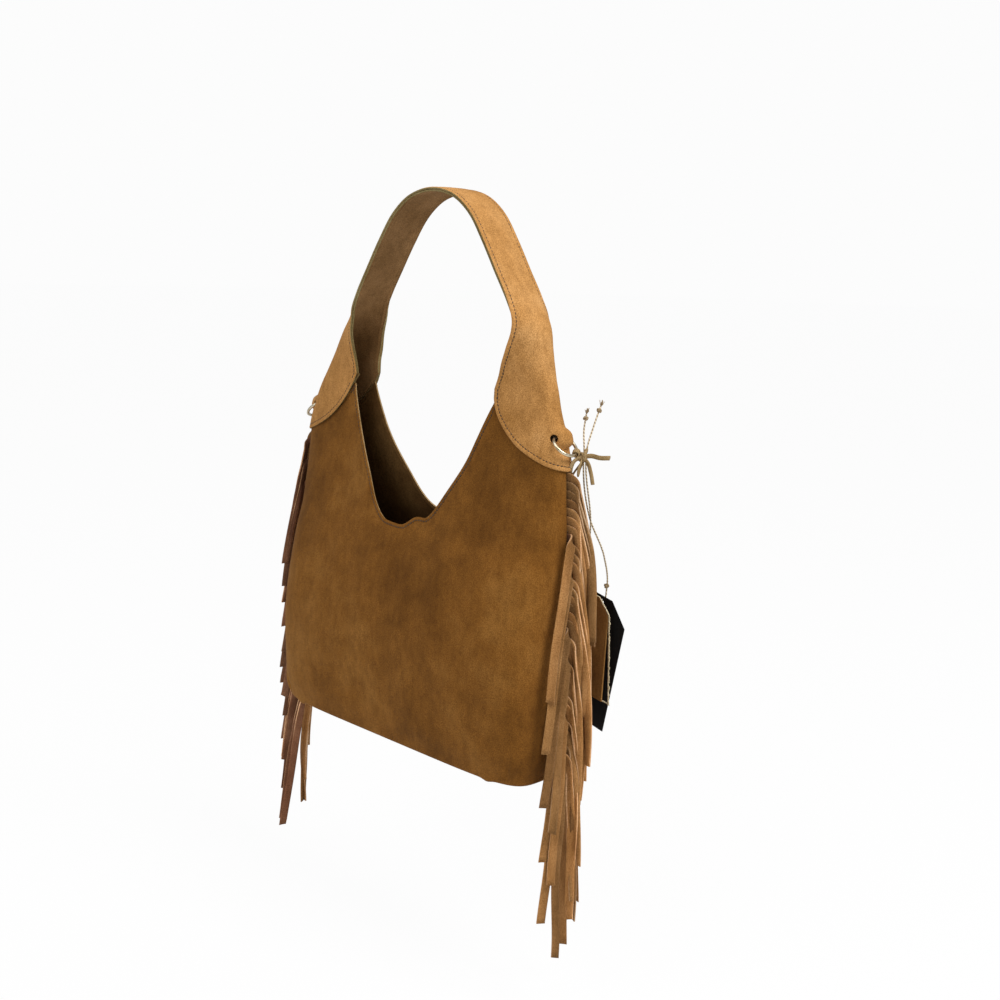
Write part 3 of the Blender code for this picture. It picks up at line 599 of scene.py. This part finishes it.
def strap_half(edge_rise):
    """Half-rows from the tab's lower edge to the apex, as points in the bag's own measure."""
    rows = []
    upper_rows = tab_rows - len(near_edge) + 1
    for step in range(tab_rows + 1):
        half = []
        for share in across_shares:
            low = float(np.interp(share, share_line, tab_height_line)) + edge_rise
            low = min(low, tab_top - 0.0006)
            low_arc = float(np.interp(share, share_line, tab_arc_line))
            total = tab_top - low
            first = near_edge[-1] * min(1.0, 0.6 * total / near_edge[-1])
            if step < len(near_edge):
                up = near_edge[step] / near_edge[-1] * first
            else:
                up = first + (total - first) * (step - len(near_edge) + 1) / upper_rows
            down = 1 - up / total
            height = low + up
            x, y, run = quarter(height)
            distance = tab_top_arc * share + down * (low_arc - tab_top_arc * share)
            half.append((np.interp(distance, run, x), np.interp(distance, run, y), height))
        rows.append(np.array(half))
    marks = [rows[-2], rows[-1]]
    for (x, z, depth, drop, width), fold in zip(strap_line, strap_fold):
        inward, out = fold_section(fold, width)
        marks.append(np.stack([x - depth * inward, out, z - drop * inward], axis=1))
    inward, out = fold_section(strap_fold[-1], strap_line[-1][-1])
    top = np.stack([0.0 * inward, out, strap_apex - apex_drop * inward], axis=1)
    marks += [top, marks[-1] * mirror]
    for p0, p1, p2, p3 in zip(marks, marks[1:], marks[2:], marks[3:]):
        d0, d1, d2 = (np.linalg.norm(b[0] - a[0]) for a, b in ((p0, p1), (p1, p2), (p2, p3)))
        leave = ((p1 - p0) / d0 * d1 + (p2 - p1)) / 2
        arrive = ((p2 - p1) + (p3 - p2) / d2 * d1) / 2
        rows += [cubic(k / mark_rows, 1.0, p1, p2, leave, arrive) for k in range(1, mark_rows + 1)]
    return rows


def strap_layer(name, edge_rise, offset, thickness, materials):
    """One layer with both its tabs; the outer one bulges between the two holes for a ring."""
    right = strap_half(edge_rise)
    rows = []
    for half in [row * mirror for row in right] + right[:-1][::-1]:
        full = [(x, -y, z) for x, y, z in half[::-1]] + [tuple(p) for p in half[1:]]
        rows.append([hung(*point) for point in full])
    wide = len(rows[0])
    verts = [point for row in rows for point in row]
    faces = []
    for i in range(len(rows) - 1):
        for j in range(wide - 1):
            a = i * wide + j
            faces.append((a, a + wide, a + 1 + wide, a + 1))
    item = add_mesh(name, verts, faces, materials, "bag")
    rim = rows[0] + [row[-1] for row in rows[1:-1]] + rows[-1][::-1] + [row[0] for row in rows[1:-1][::-1]]
    press_rim(item, close_points(rim + rim[:1]), 0.0004, 0.0004, 0.0034)
    if offset > 0:
        for vertex in item.data.vertices:
            for side in (-1, 1):
                reach = vertex.co - hung(side * hole_x, 0.0, hole_height + 0.0005)
                bulge = math.exp(
                    -((reach.y / 0.0050) ** 4) - (reach.z / 0.0068) ** 4 - (reach.x / 0.03) ** 2
                )
                vertex.co += Vector((side * bulge_out, 0.0, bulge_up)) * bulge
    thicken(item, thickness, offset)
    return item, rim, BVHTree.FromPolygons([v.co for v in item.data.vertices], faces)


strap_suede = suede("strap_suede", (0.36, 0.168, 0.044), (0.46, 0.225, 0.068), (0.56, 0.295, 0.105))
strap_edge = suede("strap_edge", (0.15, 0.105, 0.036), (0.21, 0.155, 0.060), (0.28, 0.22, 0.10), sheen=0.05)
# Painted shade: the lining is the same leather as the outer layer, coloured darker for the shade under the
# strap.
lining_suede = suede("lining_suede", (0.13, 0.066, 0.022), (0.19, 0.098, 0.034), (0.26, 0.14, 0.055))
strap_outer, strap_rim, strap_skin = strap_layer(
    "strap_outer_suede", 0.0, 1.5, strap_leather, [strap_suede, strap_edge, strap_suede]
)
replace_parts(strap_outer, "strap_outer")
strap_lining, _, _ = strap_layer(
    "strap_lining_suede", lining_rise, -1.0, lining_leather, [lining_suede, strap_edge, lining_suede]
)
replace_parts(strap_lining, "strap_lining")

# Holes for the rings: two punched in the fold of each tab, square to the leather and through both
# layers. The punches are taken away again.
for layer in (strap_outer, strap_lining):
    punches = []
    for side in (-1, 1):
        for facing in (-1, 1):
            bpy.ops.mesh.primitive_cylinder_add(vertices=24, radius=hole_radius, depth=0.012)
            punch = bpy.context.object
            punch.rotation_mode = "QUATERNION"
            direction = Vector((side * math.cos(hole_turn), facing * math.sin(hole_turn), 0.0))
            punch.rotation_quaternion = direction.to_track_quat("Z", "Y")
            punch.location = hung(side * hole_x, facing * hole_spread, hole_height)
            cut = layer.modifiers.new("hole", "BOOLEAN")
            cut.operation = "DIFFERENCE"
            cut.solver = "EXACT"
            cut.object = punch
            punches.append(punch)
    graph = bpy.context.evaluated_depsgraph_get()
    punched = bpy.data.meshes.new_from_object(layer.evaluated_get(graph))
    layer.modifiers.clear()
    layer.data = punched
    for punch in punches:
        bpy.data.objects.remove(punch, do_unlink=True)

# Stitching: one row of waxed thread, set about 3.5 mm inside the cut edges of the neckline, the
# tabs and the strap. Its dark colour is painted shade, standing in for the shaded stitch holes.
# Each stitch dips into the leather at both ends.
def mottled(name, roughness, scale, detail, stops):
    """A plain material whose colour wavers a little, and the coordinates for more detail on it."""
    material, tree, shader = new_material(name, roughness)
    at = tree.nodes.new("ShaderNodeTexCoord").outputs["Object"]
    tree.links.new(shades(tree, noise(tree, scale, detail, at), stops), shader.inputs["Base Color"])
    return material, tree, shader, at


# Painted shade: the thread is coloured dark to stand in for the shade in the stitch holes.
thread_and_hole_shade = mottled(
    "waxed_thread_and_hole_shade", 0.6, 700.0, 2.0, [(0.3, (0.035, 0.016, 0.006)), (0.7, (0.085, 0.045, 0.018))]
)[0]
stitch_pitch = 0.0035
stitch_length = 0.0025
stitch_rise = np.array([-0.0003, 0.00012, 0.0002, 0.00012, -0.0003])
neck_half_width = 0.106


def sew(verts, faces, line, outwards):
    """Short stitches laid along a line of points that lie on the leather."""
    line = np.array([tuple(p) for p in line])
    normals = np.array([tuple(n) for n in outwards])
    run = run_along(line)
    for k in range(int(run[-1] / stitch_pitch)):
        start = k * stitch_pitch + 0.0006
        at = [start + stitch_length * q / 4 for q in range(5)]
        centre = points_at(at, run, line)
        up = points_at(at, run, normals)
        up /= np.linalg.norm(up, axis=1)[:, None]
        raised = centre + up * stitch_rise[:, None]
        flat = tuple(np.cross(centre[-1] - centre[0], up[2]))
        sweep(verts, faces, raised, flat, 0.00058, 0.00036, 6)


def sew_inside(verts, faces, rim, skin, inset, lift, keep):
    """A row of stitches at the inset from the rim, on the outside of the leather's skin."""
    line, outs = [], []
    rim = close_points(rim, 0.0012)
    for before, point, after in zip(rim, rim[1:], rim[2:]):
        if not keep(point):
            if line:
                sew(verts, faces, line, outs)
            line, outs = [], []
            continue
        out = skin.find_nearest(point)[1]
        inward = out.cross(after - before).normalized()
        tries = [skin.find_nearest(point + inward * inset * sign) for sign in (-1, 1)]
        best = max(tries, key=lambda found: (found[0] - point).length)
        line.append(best[0] + best[1] * lift)
        outs.append(best[1])
    if line:
        sew(verts, faces, line, outs)


verts, faces = [], []
for rows, skin in ((front_rows, front_skin), (back_rows, back_skin)):
    sew_inside(
        verts, faces, rows[-1], skin, 0.0037, 0.0, lambda p: abs(p.x - bag_middle) < neck_half_width
    )
sew_inside(verts, faces, strap_rim, strap_skin, 0.0034, 0.0020, lambda p: True)
stitching = add_mesh("stitching", verts, faces, [thread_and_hole_shade], "bag")

# Fringe: one strip of suede in each side seam, from the tab down to the base, cut into 36 strips about
# 8 mm wide. Each comes flat out of the seam, turns, bends down over the one below and hangs to its cut
# end. A few fall over the front. The cut edges are pale and the flesh side is dark, partly as painted
# shade; painted shade also darkens the strips near their roots and along their lower sides.
strip_count, strip_pitch, first_strip = 36, 0.00767, 0.2795
fringe_leather, root_width, margin_outside = 0.0014, 0.0067, 0.001
front_strips = {7: -82, 11: -86, 18: -84, 21: -70, 25: -84, 28: -60, 31: -76, 34: -50}
flat_run, slope_run, usual_length = 0.0015, 0.105, 0.160
bend_steps, hang_steps, parts_of_step = 11, 26, 4
over_front = {
    "heading": (-4, 4), "radius": (0.0080, 0.0100), "slope": (-0.02, 0.02),
    "lean": (50, 60), "late_roll": (-14, 14),
}
at_side = {
    "heading": (-13, 13), "radius": (0.0105, 0.0145), "slope": (-0.10, 0.10),
    "lean": (38, 66), "late_roll": (-50, 50),
}


def hangs_forward(index, side):
    return index in front_strips if side > 0 else index % 3 == 1 or index in (14, 27, 35)


def aimed(turn, out, up):
    """A direction that goes out at this heading and up."""
    return Vector((out * math.cos(turn), out * math.sin(turn), up))


def strip_frames(index, luck, side):
    """Centre, width and face directions along one strip, and the distance from its root."""
    root_z = first_strip - index * strip_pitch
    root_x = float(along(half_widths, root_z)) + margin_outside
    front = hangs_forward(index, side)
    habit = over_front if front else at_side
    if side > 0:
        heading = front_strips[index] if front else 46
    else:
        heading = -46 if front else (4, 24, 14)[index % 3]
    heading = math.radians(heading + luck.uniform(*habit["heading"]))
    down_share = index / (strip_count - 1)
    length = (
        0.150 + 0.020 * down_share + 0.016 * max(0.0, down_share - 0.75) * 4
        + 0.007 * math.sin(2.4 * index + 0.7) + luck.uniform(-0.006, 0.006)
    )
    radius = luck.uniform(*habit["radius"])
    start_tilt = 0.0 if front else 0.42
    first_slope, last_slope = (0.22, 0.14) if front else (0.235 - 0.13 * down_share, 0.02)
    first_slope += luck.uniform(*habit["slope"])
    lean = math.radians(luck.uniform(*habit["lean"]))
    if hangs_forward(index + 1, side) and side > 0:
        lean = math.radians(10)
    roll = math.radians(luck.uniform(48, 62) if front and side > 0 else luck.uniform(-34, 44))
    late_roll = math.radians(luck.uniform(*habit["late_roll"]))
    sway, phase = luck.uniform(0.4, 1.6) * 0.001, luck.uniform(0.0, 6.28)
    lift = luck.uniform(-0.0008, 0.0008)
    turn_run = 0.013 if front else 0.007
    bend = math.pi / 2 - math.atan(first_slope)
    bend_end = flat_run + radius * (bend - start_tilt)
    stops = [-0.007, -0.003, 0.0] + [bend_end * k / bend_steps for k in range(1, bend_steps + 1)]
    stops += [bend_end + (length - bend_end) * k / hang_steps for k in range(1, hang_steps + 1)]
    frames = []
    at, last = Vector((root_x, 0.0, root_z)), 0.0
    for s in stops:
        if s <= 0:
            frames.append((at + Vector((s, 0, 0)), Vector((0, 0, 1)), Vector((0, -1, 0)), 0.0))
            continue
        for part in range(parts_of_step):
            q = last + (s - last) * (part + 0.5) / parts_of_step
            turn = heading * min(1.0, q / turn_run)
            tilt = start_tilt * min(1.0, q / flat_run) + max(0.0, q - flat_run) / radius
            tilt = min(bend, tilt)
            if q > bend_end:
                slope = first_slope + (last_slope - first_slope) * min(1.0, (q - bend_end) / slope_run)
                tilt = math.pi / 2 - math.atan(slope)
            flow = aimed(turn, math.cos(tilt), -math.sin(tilt))
            at = at + flow * ((s - last) / parts_of_step)
        last = s
        run = max(0.0, s - bend_end) / (usual_length - bend_end)
        near = min(1.0, max(0.0, s - 0.003) / 0.014)
        far = min(1.0, max(0.0, s - 0.035) / 0.045)
        tip = lean * near * near * (3 - 2 * near) * (1 - far) + roll * far + late_roll * run * run
        wide = Matrix.Rotation(tip, 3, flow) @ aimed(turn, math.sin(tilt), math.cos(tilt))
        behind = Vector((math.sin(turn), -math.cos(turn), 0.0))
        drop = root_z - at.z
        depth = 0.0
        if side > 0 and not front:
            depth = -0.13 * min(drop, 0.07) - 0.03 * max(0.0, drop - 0.07) + lift * min(1.0, 20 * s)
        wave = sway * min(1.0, 3 * run)
        centre = at + behind * (depth + wave * math.sin(phase + 7.0 * run))
        centre += aimed(turn, 1.0, 0.0) * (wave * math.sin(1.7 * phase + 5.0 * run))
        frames.append((centre, wide, flow.cross(wide).normalized(), s))
    return frames, length


shares_across = [-1.0, -0.5, 0.0, 0.5, 1.0]
strip_section = [(share, 1) for share in shares_across] + [(share, -1) for share in shares_across[::-1]]
cut_sides = (4, 9)
band_top, band_foot, band_levels = first_strip + 0.0034, 0.0077, 60
band_section = ((-0.007, -1), (0.0050, 1), (0.0045, 4), (-0.007, 1))


def fringe(name, side, seed):
    """All strips of one side and the band in the seam that holds them."""
    luck = random.Random(seed)
    verts, faces, slots, tones_and_painted_shade = [], [], [], []
    count = len(strip_section)
    for index in range(strip_count):
        frames, length = strip_frames(index, luck, side)
        front = hangs_forward(index, side)
        tint = luck.choice((0.62, 0.80, 0.92, 1.0, 1.08)) * luck.uniform(0.94, 1.06)
        warm = luck.uniform(-0.05, 0.05)
        width = 0.0078 if front else luck.uniform(0.0070, 0.0086)
        cup = luck.uniform(-0.0008, 0.0012)
        slant = luck.uniform(-0.0016, 0.0016)
        first = len(verts)
        for centre, wide, thin, s in frames:
            grow = min(1.0, s / 0.012)
            half = (root_width / 2) * (1 - grow) + (width / 2) * grow
            for across, through in strip_section:
                bow = cup * grow * (1 - across * across)
                point = centre + wide * (half * across) + thin * (through * fringe_leather / 2 + bow)
                if s >= length - 1e-6:
                    point += Vector((0.0, 0.0, slant * across))
                verts.append(hung(side * point.x, point.y, point.z))
                # Painted shade: each strip darkens towards its root in the seam and along its lower side,
                # most near the root, and the flesh faces of the side strips are darker still. The lift on
                # the pale cut edges, the tint and the warmth are the strips' own colour.
                shade = 0.55 + 0.45 * min(1.0, s / 0.018)
                shade *= 1.0 - 0.22 * (1 - across) * (1.0 - 0.6 * min(1.0, s / 0.06))
                if abs(across) == 1.0:
                    shade *= 1.15
                elif through < 0 and not front:
                    shade *= 0.8
                tones_and_painted_shade.append((tint * shade * (1 + warm), tint * shade, tint * shade * (1 - warm), 1.0))
        for k in range(len(frames) - 1):
            a, b = first + k * count, first + (k + 1) * count
            for c in range(count):
                d = (c + 1) % count
                quad = (a + c, a + d, b + d, b + c)
                faces.append(quad if side > 0 else quad[::-1])
                slots.append(1 if c in cut_sides else 2 if (c > cut_sides[0]) != front else 0)
        cap = tuple(first + (len(frames) - 1) * count + c for c in range(count))
        faces.append(cap if side > 0 else cap[::-1])
        slots.append(1)
    band = len(verts)
    for k in range(band_levels + 1):
        z = band_top - (band_top - band_foot) * k / band_levels
        x = float(along(half_widths, z))
        for across, y in band_section:
            verts.append(hung(side * (x + across), y * fringe_leather / 2, z))
            # Painted shade: the band in the seam is darkened to about a third of the suede's colour.
            tones_and_painted_shade.append((0.36, 0.34, 0.32, 1.0))
    for k in range(band_levels):
        a, b = band + 4 * k, band + 4 * (k + 1)
        for c in range(4):
            d = (c + 1) % 4
            quad = (a + c, b + c, b + d, a + d)
            faces.append(quad if side > 0 else quad[::-1])
            slots.append(0)
    item = add_mesh(name, verts, faces, [fringe_suede, fringe_edge, fringe_flesh_and_shade], "bag", smooth=False)
    for polygon, number in zip(item.data.polygons, slots):
        polygon.material_index = number
        polygon.use_smooth = number != 1
    colours = item.data.color_attributes.new("tone_and_painted_shade", "FLOAT_COLOR", "POINT")
    colours.data.foreach_set("color", np.array(tones_and_painted_shade, dtype=np.float32).ravel())
    shape = bmesh.new()
    shape.from_mesh(item.data)
    bmesh.ops.recalc_face_normals(shape, faces=shape.faces)
    shape.to_mesh(item.data)
    shape.free()
    return item


fringe_suede = suede(
    "fringe_suede", (0.28, 0.130, 0.039), (0.38, 0.182, 0.060), (0.49, 0.25, 0.092),
    tone_and_painted_shade=True, nap=(1.0, 1.0, 0.2),
)
fringe_edge = suede(
    "fringe_edge", (0.42, 0.21, 0.09), (0.58, 0.33, 0.165), (0.70, 0.45, 0.26), tone_and_painted_shade=True, sheen=0.05
)
# The flesh side of the strips, coloured dark red-brown partly as painted shade.
fringe_flesh_and_shade = suede(
    "fringe_flesh_and_shade", (0.13, 0.050, 0.026), (0.19, 0.082, 0.042), (0.27, 0.13, 0.070), tone_and_painted_shade=True
)
for node, side, seed in (("fringe_right", 1, 5), ("fringe_left", -1, 9)):
    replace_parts(fringe(node + "_strips", side, seed), node)

# Rings: 26 mm rings of 3 mm brass wire with a pale worn finish, each through the two holes of a tab,
# where it is free to swing.
ring_radius, ring_wire, pivot_out = 0.0115, 0.0015, 0.0002
square_to_round = 0.94
ring_hang = math.radians(42.0)
ring_reach = math.sqrt(ring_radius**2 - hole_spread**2)
backwards = Vector((0.0, 1.0, 0.0))


def ring_pose(side):
    """The direction in which a ring hangs out from its tab, and the ring's centre."""
    out = Vector((side * math.cos(ring_hang), 0.0, -math.sin(ring_hang)))
    return out, hung(side * (hole_x + pivot_out), 0.0, hole_height) + out * ring_reach


def circle(centre, across, up, radius, count):
    turns = [2 * math.pi * k / count for k in range(count)]
    return [centre + (across * math.cos(t) + up * math.sin(t)) * radius for t in turns]


pale_brass, tree, shader, at = mottled(
    "pale_brass", 0.3, 260.0, 4.0, [(0.35, (0.46, 0.38, 0.24)), (0.65, (0.72, 0.64, 0.48))]
)
set_inputs(shader, Metallic=1.0)
raise_bumps(tree, shader, noise(tree, 900.0, 3.0, at), 0.15, 0.0001)
for side, body, node in ((1, "right_ring", "ring_right"), (-1, "left_ring", "ring_left")):
    out, centre = ring_pose(side)
    line = circle(centre, out, backwards, ring_radius, 72)
    wire = ring_wire * square_to_round
    verts, faces = [], []
    sweep(verts, faces, line, (0, 0, 1), wire, wire, 14, closed=True)
    wire_ring = add_mesh(node + "_wire", verts, faces, [pale_brass], body)
    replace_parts(wire_ring, node)

# Lace: a flat leather thong hitched round the right ring's wire with two turns and knotted. It has two
# loose ends, two loops and a short fold over the knot.
thong = suede("thong", (0.20, 0.125, 0.05), (0.33, 0.22, 0.10), (0.47, 0.35, 0.19))
out, centre = ring_pose(1)
across_ring = Vector((math.sin(ring_hang), 0.0, math.cos(ring_hang)))
round_ring = math.radians(38)
away = out * math.cos(round_ring) + backwards * math.sin(round_ring)
on_wire = centre + away * ring_radius
knot = on_wire + away * 0.0066
verts, faces = [], []
wire_flow = away.cross(across_ring)
for shift in (-0.0012, 0.0014):
    loop = circle(on_wire + wire_flow * shift, away, across_ring, 0.0028, 28)
    sweep(verts, faces, loop, wire_flow, 0.0014, 0.0008, 10, closed=True)
tilt = away.to_track_quat("Z", "Y").to_matrix()
sweep(verts, faces, overhand(knot, 0.0036, tilt), (0, 0, 1), 0.0019, 0.0011, 10, closed=True)
ends = (
    ([(0, 0, 0), (0.004, 0.006, 0.001), (0.008, 0.014, -0.001), (0.0115, 0.023, -0.0015)], 0.0022, 0.0010),
    ([(0, 0, 0), (0.0035, 0.003, -0.005), (0.0055, 0.005, -0.013), (0.0075, 0.0062, -0.024)],
     0.0018, 0.0009),
    ([(0, 0, 0), (0.002, -0.004, -0.004), (0.001, -0.006, -0.010), (-0.003, -0.001, -0.016),
      (-0.006, 0.004, -0.012), (-0.003, 0.005, -0.004), (0, 0, 0)], 0.0021, 0.0008),
    ([(0, 0, 0), (-0.003, -0.007, -0.003), (-0.006, -0.008, -0.010), (-0.009, -0.004, -0.018),
      (-0.0085, 0.001, -0.013), (-0.003, 0.002, -0.005), (0, 0, 0)], 0.0019, 0.0008),
    ([(0, 0, 0), (0.001, 0.003, 0.004), (0.003, 0.001, 0.007), (0.005, -0.003, 0.004),
      (0.003, -0.002, -0.002)], 0.0018, 0.0009),
)
for route, half_wide, half_thin in ends:
    line, _ = smooth_line([tuple(knot + Vector(p)) for p in route], 0.001)
    sweep(verts, faces, line, (0.3, -0.2, 1), half_wide, half_thin, 10)
lace = add_mesh("lace_knot", verts, faces, [thong], "right_ring")
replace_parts(lace, "ring_lace")

# Suede tag: a piece of the bag's own suede with clipped corners, bare, on the twine. Its solid comes
# from the frame, and a torn pale edge is added round it.
tag_across = Vector((-0.98494, 0.14071, 0.1005))
tag_down = Vector((-0.010, 0.0609, -0.9981))
tag_top = Vector((0.1435, 0.0575, -0.363))
tag_normal = tag_across.cross(tag_down).normalized()
tag_suede = suede("tag_suede", (0.24, 0.110, 0.028), (0.34, 0.165, 0.045), (0.43, 0.22, 0.068))
tag_edge = suede("tag_edge", (0.48, 0.36, 0.20), (0.66, 0.54, 0.34), (0.80, 0.70, 0.50), sheen=0.05)
suede_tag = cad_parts["suede_tag"]
suede_tag.data.materials.clear()
suede_tag.data.materials.append(tag_suede)
luck = random.Random(3)
outline = [
    (-0.023, 0.013), (-0.023, 0.1), (0.023, 0.1), (0.023, 0.013), (0.010, 0.0), (-0.010, 0.0),
    (-0.023, 0.013),
]
line = close_points([tag_top + tag_across * u + tag_down * v for u, v in outline], 0.0011)
middle = tag_top + tag_down * 0.052
verts, faces = [], []
for k, point in enumerate(line):
    ahead, behind = line[(k + 1) % len(line)], line[k - 1]
    out = tag_normal.cross(ahead - behind).normalized()
    out *= 1.0 if out.dot(point - middle) > 0 else -1.0
    frayed = luck.uniform(0.0002, 0.0019) if out.dot(tag_across) < -0.7 else luck.uniform(0.0002, 0.0007)
    for reach, rise in ((-0.0004, 0.00072), (frayed, 0.0003), (frayed, -0.0003), (-0.0004, -0.00072)):
        verts.append(point + out * reach + tag_normal * (rise + luck.uniform(-0.0001, 0.0001)))
for k in range(len(line)):
    for c in range(4):
        a, b = 4 * k, 4 * ((k + 1) % len(line))
        faces.append((a + c, a + (c + 1) % 4, b + (c + 1) % 4, b + c))
torn_edge = add_mesh("tag_torn_edge", verts, faces, [tag_edge], "right_ring")

# Card tag: stiff black card with clipped top corners, bare, behind the suede one on the same twine.
# Its solid comes from the frame too.
black_card, tree, shader, at = mottled(
    "black_card", 0.6, 900.0, 3.0, [(0.3, (0.0035, 0.0035, 0.004)), (0.7, (0.008, 0.008, 0.009))]
)
raise_bumps(tree, shader, noise(tree, 1200.0, 2.0, at), 0.1, 0.0001)
set_inputs(shader, Specular_IOR_Level=0.25)
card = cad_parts["card_tag"]
card.data.materials.clear()
card.data.materials.append(black_card)

# Setting: a wide pale floor that runs out to an equally pale sky, soft daylight and two broad lamps.
# The floor and the sky look evenly white to the camera.
pale_ground, tree, shader = new_material("pale_ground", 0.9)
set_inputs(shader, Base_Color=(0.86, 0.86, 0.87, 1.0))
path = tree.nodes.new("ShaderNodeLightPath")
glow = tree.nodes.new("ShaderNodeEmission")
set_inputs(glow, Color=(1.0, 1.0, 1.0, 1.0))
choose = tree.nodes.new("ShaderNodeMixShader")
tree.links.new(scale_and_add(tree, path.outputs["Is Camera Ray"], 0.95), choose.inputs["Fac"])
tree.links.new(shader.outputs["BSDF"], choose.inputs[1])
tree.links.new(glow.outputs["Emission"], choose.inputs[2])
tree.links.new(choose.outputs["Shader"], tree.nodes["Material Output"].inputs["Surface"])
floor_reach, floor_height = 40.0, -0.74
corners = [(-1, -1), (1, -1), (1, 1), (-1, 1)]
floor_mesh = bpy.data.meshes.new("ground")
floor_corners = [(x * floor_reach, y * floor_reach, floor_height) for x, y in corners]
floor_mesh.from_pydata(floor_corners, [], [(0, 1, 2, 3)])
floor_mesh.materials.append(pale_ground)
ground = bpy.data.objects.new("ground", floor_mesh)
collection.objects.link(ground)

world = bpy.data.worlds.new("studio")
bpy.context.scene.world = world
world.use_nodes = True
sky = world.node_tree.nodes["Background"]
set_inputs(sky, Color=(1.0, 1.0, 1.0, 1.0), Strength=0.46)
seen = world.node_tree.nodes.new("ShaderNodeBackground")
set_inputs(seen, Color=(0.974, 0.974, 0.974, 1.0))
path = world.node_tree.nodes.new("ShaderNodeLightPath")
choose = world.node_tree.nodes.new("ShaderNodeMixShader")
join = world.node_tree.links.new
join(path.outputs["Is Camera Ray"], choose.inputs["Fac"])
join(sky.outputs["Background"], choose.inputs[1])
join(seen.outputs["Background"], choose.inputs[2])
join(choose.outputs["Shader"], world.node_tree.nodes["World Output"].inputs["Surface"])

lamp_aim = Vector((0.0, 0.0, -0.3))
for name, place, size, power in (
    ("broad_lamp", (0.0, -1.9, 1.9), 1.6, 27.0),
    ("top_right_lamp", (1.6, 0.1, 1.6), 1.0, 44.0),
):
    lamp_data = bpy.data.lights.new(name, "AREA")
    lamp_data.size = size
    lamp_data.energy = power
    lamp = bpy.data.objects.new(name, lamp_data)
    collection.objects.link(lamp)
    lamp.location = place
    lamp.rotation_mode = "QUATERNION"
    lamp.rotation_quaternion = (lamp_aim - Vector(place)).to_track_quat("-Z", "Y")

bpy.context.scene.view_settings.view_transform = "Standard"
